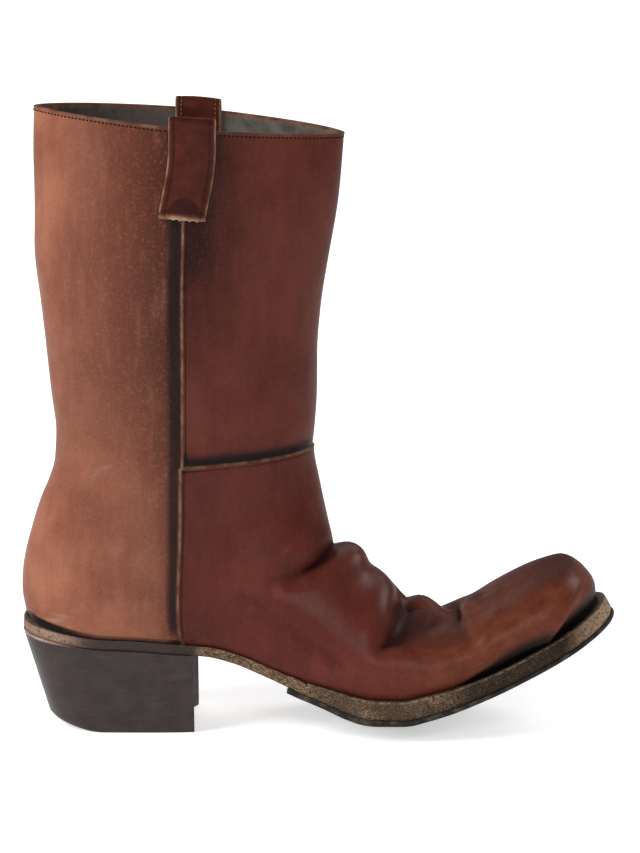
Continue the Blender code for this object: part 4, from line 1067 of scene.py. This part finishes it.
def welt_depth(x):
    """Thickness of the welt at x: thin where it starts in the waist, and thinner again at the toe."""
    full = WELT_THICK * (1.0 - 0.35 * smoothstep(x / LENGTH, 0.66, 0.80))
    return WELT_END_THICK + (full - WELT_END_THICK) * smoothstep(x, WELT_START, WELT_START + 0.031)


def outsole_top(x):
    """Depth of the leather sole's upper face."""
    return (welt_depth(x) + 0.00002) * smoothstep(x, WELT_START - WELT_RAMP, WELT_START - CLEARANCE)


def outsole_bottom(x):
    """Depth of the leather sole's lower face."""
    return OUTSOLE_THICK + (welt_depth(x) + CLEARANCE) * smoothstep(x, WELT_START - 0.022, WELT_START + 0.010)


def layer(name, start, end, top, bottom, edge, inner_shares, finish, slot, nodes, floor=False):
    """One layer of the sole: loops round its section, carried from the heel or the waist to the toe.

    edge is a list of (share of the thickness, inset) down the layer's edge; the plan is drawn in by
    the inset all round, so the ends get the same profile as the sides.
    """
    turn = (1.0 - np.cos(math.pi * np.linspace(0.0, 1.0, SOLE_ROWS))) / 2.0
    down = np.array([share for share, _ in edge])
    inset = np.array([drawn for _, drawn in edge])
    across = np.ones(len(inner_shares))
    ring_inset = np.concatenate([across * inset[0], inset, across * inset[-1], inset[::-1]])
    ring_side = np.concatenate([inner_shares, np.ones(len(inset)), inner_shares[::-1], -np.ones(len(inset))])
    ring_down = np.concatenate([0.0 * inner_shares, down, 0.0 * inner_shares + 1.0, down[::-1]])
    back = start + (ring_inset if start < 0.01 else 0.0 * ring_inset)
    x = back[None, :] + (end - ring_inset - back)[None, :] * turn[:, None]
    drawn_in = (ring_inset, SOLE_END - end + ring_inset, np.minimum(back, 0.01))
    lateral_half, medial_half = half_plan(x, "lateral", *drawn_in), half_plan(x, "medial", *drawn_in)
    half = np.where(ring_side[None, :] < 0, lateral_half, medial_half)
    full = np.where(ring_side[None, :] < 0, half_plan(x, "lateral"), half_plan(x, "medial"))
    depth = top(x) + (bottom(x) - top(x)) * ring_down[None, :]
    points = sole_point(x, ring_side[None, :] * half, full, depth)
    if floor:
        points[..., 2] = np.maximum(points[..., 2], 0.0)
    size = len(ring_side)
    index = np.arange(SOLE_ROWS * size).reshape(SOLE_ROWS, size)
    turned = np.roll(index, -1, axis=1)
    faces = np.stack([turned[:-1], turned[1:], index[1:], index[:-1]], axis=-1).reshape(-1, 4).tolist()
    if start > 0.01:
        faces.append(index[0].tolist())
    side = np.concatenate([0.0 * across, np.ones(len(inset)), 0.0 * across, np.ones(len(inset))])
    shares = {"edge": side[None, :] + 0.0 * x, "depth": ring_down[None, :] + 0.0 * x}
    return make_piece(name, points.reshape(-1, 3), faces, finish, slot, nodes, merge=2e-6, **shares)


def sole_leather_finish(name, is_welt):
    """Grey-brown leather, worn: grainy edge, darker patches, a light line on each corner, dark ledge."""
    leather = Finish(name)
    at = leather.place()
    fine = leather.noise(leather.place((1.0, 1.0, 1.4)), 1250.0, 2.0, 0.8)
    mottle = leather.noise(leather.place((1.0, 1.0, 1.4)), 420.0, 4.0, 0.7)
    patches = leather.noise(at, 30.0, 3.0, 0.6)
    along = leather.node("SeparateXYZ", None, {0: at})
    edge, depth = leather.share("edge"), leather.share("depth")
    worn = leather.mix(leather.step(mottle, 0.36, 0.66), tint(50, 38, 29), tint(88, 70, 54))
    worn = leather.mix(leather.step(fine, 0.50, 0.62) * 0.75, worn, tint(158, 132, 106))
    worn = leather.mix(leather.step(patches, 0.46, 0.62) * 0.7, worn, tint(50, 40, 33))
    toe_forward = leather.step(along, 0.050, 0.085) * leather.step(along, 0.148, 0.126)
    worn = leather.mix(toe_forward * 0.80, worn, tint(22, 17, 14))
    toe_tip = leather.step(along, 0.126, 0.146) * leather.step(mottle, 0.3, 0.6)
    worn = leather.mix(toe_tip * 0.7, worn, tint(158, 132, 108))
    rand = leather.step(along, -0.095, -0.125) * leather.step(mottle, 0.30, 0.55)
    worn = leather.mix(rand * 0.62, worn, tint(142, 114, 102))
    stained = leather.step(along, -0.136, -0.114) * leather.step(along, -0.060, -0.066)
    worn = leather.mix(stained * 0.92, worn, tint(50, 42, 40))
    face_tones = tint(84, 66, 52), tint(120, 98, 78)
    if is_welt:
        upper_line = leather.step(depth, 0.20, 0.05) * leather.step(mottle, 0.40, 0.58)
        worn = leather.mix(upper_line * 0.6, worn, tint(142, 120, 98))
        face_tones = tint(34, 28, 25), tint(52, 43, 37)
    face = leather.mix(leather.step(mottle, 0.3, 0.7), *face_tones)
    colour = leather.mix(edge, face, worn)
    height = fine * 0.8 + mottle * 1.2
    bump = leather.node("Bump", None, {"Height": height, "Strength": 0.45, "Distance": 0.0004})
    rough = 0.62 + 0.2 * (mottle - 0.5)
    return leather.done(Base_Color=colour, Roughness=rough, Normal=bump, Specular_IOR_Level=0.05)


def rubber_finish():
    """Matt black rubber with grey dust."""
    rubber = Finish("rubber")
    at = rubber.place()
    dust = rubber.noise(at, 160.0, 4.0, 0.65)
    dots = rubber.noise(at, 1200.0, 2.0)
    colour = rubber.mix(rubber.step(dust, 0.45, 0.75), tint(30, 27, 25), tint(70, 63, 56))
    bump = rubber.node("Bump", None, {"Height": dust + 0.5 * dots, "Strength": 0.3, "Distance": 0.0003})
    rough = 0.72 + 0.2 * (dust - 0.5)
    return rubber.done(Base_Color=colour, Roughness=rough, Normal=bump, Specular_IOR_Level=0.12)


WELT_LEATHER = sole_leather_finish("welt_leather", True)
SOLE_LEATHER = sole_leather_finish("sole_leather", False)
RUBBER = rubber_finish()
outsole_edge = [(0.0, 0.0), (0.06, 0.0), (0.35, 0.0), (0.62, 0.00005), (0.80, 0.0004), (1.0, 0.0012)]
layer("outsole_leather", 0.0, SOLE_END, outsole_top, outsole_bottom, outsole_edge, TOP_SHARES[1:-1] * 0.985,
      SOLE_LEATHER, "sole_leather", ["outsole"])
rubber_edge = [(0.0, 0.0002), (0.2, 0.0), (0.7, 0.0), (1.0, 0.0005)]


def rubber_top(x):
    """Depth of the half sole's upper face."""
    return outsole_bottom(x) + CLEARANCE * 0.3


def rubber_bottom(x):
    """Depth of the half sole's lower face: thinner at the toe."""
    return outsole_bottom(x) + CLEARANCE + RUBBER_THICK * (1.0 - 0.3 * smoothstep(x / LENGTH, 0.66, 0.80))


layer("half_sole_rubber", HALF_SOLE_START, SOLE_END, rubber_top, rubber_bottom, rubber_edge,
      TOP_SHARES[1:-1] * 0.985, RUBBER, "sole_rubber", ["half_sole"], floor=True)


def welt_strip():
    """The welt: a strip between the plan's outline and the upper's feather line, with a bevelled edge."""
    toe, inner_toe = SOLE_END, SOLE_END - TOE_LEDGE - WALL - PANEL_STEP
    side = np.linspace(WELT_START, TOE_CAP * LENGTH, 70)
    turn = np.sin(np.linspace(0.0, math.pi / 2.0, 46)[1:]) ** (2.0 / TOE_POWER)
    profile = [(0.0, None), (0.0, 0.0006), (0.08, 0.00015), (0.25, 0.0), (0.9, 0.0), (1.0, 0.0), (1.0, None)]
    rings = []
    for down, inset in profile:
        tip = inner_toe if inset is None else toe - inset
        x = np.concatenate([side, side[-1] + (tip - side[-1]) * turn])
        halves = {}
        for name in ("lateral", "medial"):
            halves[name] = feather(x, name) if inset is None else half_plan(x, name, inset, inset)
            halves[name][-1] = 0.0
        x = np.concatenate([x, x[-2::-1]])
        y = np.concatenate([-halves["lateral"], halves["medial"][-2::-1]])
        rings.append(sole_point(x, y, np.abs(y), welt_depth(x) * down))
    grid = np.stack(rings, axis=1)
    rows, size = grid.shape[:2]
    index = np.arange(rows * size).reshape(rows, size)
    turned = np.roll(index, -1, axis=1)
    faces = np.stack([index[:-1], index[1:], turned[1:], turned[:-1]], axis=-1).reshape(-1, 4).tolist()
    faces += [index[0].tolist(), index[-1][::-1].tolist()]
    edge = np.array([0.0, 0.6, 1.0, 1.0, 1.0, 1.0, 0.0])[None, :] + np.zeros((rows, 1))
    down = np.array([share for share, _ in profile])[None, :] + np.zeros((rows, 1))
    make_piece("welt_leather_strip", grid.reshape(-1, 3), faces, WELT_LEATHER, "sole_leather", ["welt"],
               merge=None, edge=edge, depth=down * 0.8)


welt_strip()


# The insole
# The board of plain tanned leather that the foot stands on, seen only down the shaft.

def insole_finish():
    """Plain tanned board with short fibres."""
    board = Finish("insole_board")
    fibre = board.noise(board.place(), 320.0, 4.0, 0.7)
    colour = board.mix(board.step(fibre, 0.3, 0.7), tint(120, 96, 74), tint(150, 124, 98))
    bump = board.node("Bump", None, {"Height": fibre, "Strength": 0.3, "Distance": 0.0003})
    return board.done(Base_Color=colour, Roughness=0.75, Normal=bump, Specular_IOR_Level=0.12)


def dress_node(name, finish):
    """Puts a better finish on a CAD solid that stays."""
    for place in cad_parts[name].material_slots:
        place.material = finish


dress_node("insole", insole_finish())


# The heel
# Lifts of leather stacked, nailed and cut to an undercut block, stained nearly black and burnished,
# with a hollow breast and a harder lift at the bottom.

HEEL_BREAST = 0.090
BREAST_HOLLOW = 0.007
HEEL_UNDERCUT = 0.015
HEEL_TAPER = 0.87
WEAR_RISE = 0.005
WEAR_FROM = 0.010
WEAR_TO = 0.044
TOP_PIECE_THICK = 0.0068
HEEL_ACROSS = 31
HEEL_LONG = 44


def heel_grid(level, height):
    """The heel's plan at a level: a grid over its area, drawn in at the back and sides further down."""
    drop = np.clip(1.0 - height / (SEAT_HEIGHT - OUTSOLE_THICK), 0.0, 1.0)
    across = np.sin(np.linspace(-0.5, 0.5, HEEL_ACROSS) * math.pi)[None, :]
    rows = (np.linspace(0.0, 1.0, HEEL_LONG) ** 1.9)[:, None]
    seat = 0.0004 + rows * (HEEL_BREAST - BREAST_HOLLOW * (1.0 - across ** 2) - 0.0004)
    half = np.where(across < 0, half_plan(seat, "lateral"), half_plan(seat, "medial"))
    x = seat + HEEL_UNDERCUT * drop * (1.0 - seat / HEEL_BREAST)
    y = across * half * (1.0 - (1.0 - HEEL_TAPER) * drop)
    if level == "seat":
        return sole_point(seat, across * half, half, OUTSOLE_THICK + 0.0001)
    return np.stack([x, y, height + 0.0 * x], axis=-1)


def heel_block(name, levels, finish, slot, nodes, depths):
    """A closed block through several levels of the same grid, its edges slightly rounded."""
    grids = np.array(levels)
    rows, cols = grids.shape[1:3]
    index = np.arange(rows * cols).reshape(rows, cols)
    quads = np.stack([index[:-1, :-1], index[1:, :-1], index[1:, 1:], index[:-1, 1:]], axis=-1).reshape(-1, 4)
    rim = np.concatenate([index[:-1, 0], index[-1, :-1], index[:0:-1, -1], index[0, :0:-1]])
    flat = grids.reshape(len(levels), -1, 3)
    points = np.concatenate([flat[0], flat[-1]] + [level[rim] for level in flat[1:-1]])
    count = rows * cols
    between_rings = 2 * count + np.arange((len(levels) - 2) * len(rim)).reshape(-1, len(rim))
    rings = [rim, *between_rings, rim + count]
    faces = quads.tolist() + (quads[:, ::-1] + count).tolist()
    for above, below in zip(rings[:-1], rings[1:]):
        faces += np.stack([above, below, np.roll(below, -1), np.roll(above, -1)], axis=-1).tolist()
    share = np.concatenate([np.full(count, depths[0]), np.full(count, depths[-1])]
                           + [np.full(len(rim), depth) for depth in depths[1:-1]])
    return make_piece(name, points, faces, finish, slot, nodes, merge=None, depth=share)


def between(upper, lower, share, drawn=0.0):
    """A level between two others, drawn in a little."""
    grid = upper * (1.0 - share) + lower * share
    middle = grid.mean(axis=(0, 1))
    grid[..., :2] = middle[:2] + (grid[..., :2] - middle[:2]) * (1.0 - drawn)
    return grid


def levels_between(upper, lower, steps):
    """Levels between two others, each given by its share of the way and how far it is drawn in."""
    return [between(upper, lower, share, drawn) for share, drawn in steps]


def heel_finish():
    """Stained stacked leather: fibres along each lift, faint joints, scratches, and a sanded top edge."""
    stack = Finish("stacked_leather")
    at = stack.place()
    height = stack.node("SeparateXYZ", None, {0: at}, 2)
    length = stack.node("SeparateXYZ", None, {0: at}, 0)
    fibre = stack.noise(stack.place((1.0, 1.0, 9.0)), 70.0, 4.0, 0.6)
    mottle = stack.noise(at, 90.0, 4.0, 0.6)
    scratch = stack.noise(stack.place((0.25, 1.0, 5.0)), 240.0, 4.0, 0.7)
    lift = stack.node("Math", {"operation": "FRACT"}, {0: height * (1.0 / 0.0056)})
    joint = stack.step(lift, 0.10, 0.0) + stack.step(lift, 0.90, 1.0)
    colour = stack.mix(stack.step(mottle, 0.3, 0.7), tint(47, 40, 39), tint(56, 48, 46))
    colour = stack.mix(stack.step(fibre, 0.50, 0.70) * 0.35, colour, tint(70, 56, 48))
    colour = stack.mix(joint * 0.16, colour, tint(36, 30, 29))
    colour = stack.mix(stack.step(scratch, 0.64, 0.78) * 0.40, colour, tint(112, 86, 66))
    seat = height + 0.085 * (length + 0.152)
    sanded = stack.step(seat, 0.0486, 0.0500) * stack.step(length, -0.118, -0.140)
    bare = stack.mix(stack.step(scratch + mottle, 0.85, 1.15), tint(128, 104, 94), tint(162, 138, 128))
    colour = stack.mix(sanded, colour, bare)
    relief = 0.6 * fibre + 0.5 * scratch - 0.5 * joint
    bump = stack.node("Bump", None, {"Height": relief, "Strength": 0.18, "Distance": 0.0004})
    rough = 0.40 + 0.2 * (mottle - 0.5) + 0.35 * sanded
    return stack.done(Base_Color=colour, Roughness=rough, Normal=bump, Specular_IOR_Level=0.12)


STACK = heel_finish()
seat_grid = heel_grid("seat", SEAT_HEIGHT - OUTSOLE_THICK)
lift_grid = heel_grid("lift", TOP_PIECE_THICK)
foot_grid = heel_grid("foot", 0.0)
foot_grid[..., 2] = WEAR_RISE * smoothstep(-foot_grid[..., 0], -WEAR_TO, -WEAR_FROM)
STACK_STEPS = [(0.0, 0.004), (0.008, 0.0), (0.35, 0.0), (0.7, 0.0), (0.994, 0.0), (1.0, 0.003)]
LIFT_STEPS = [(0.0, 0.003), (0.05, 0.0), (0.92, 0.0), (1.0, 0.012)]
heel_block("heel_stack_leather", levels_between(seat_grid, lift_grid, STACK_STEPS), STACK, "heel_leather",
           ["heel_stack"], [0, 0, 0.35, 0.7, 1, 1])
heel_block("heel_lift", levels_between(lift_grid, foot_grid, LIFT_STEPS), STACK, "sole_rubber",
           ["heel_top_piece"], [0, 0, 1, 1])
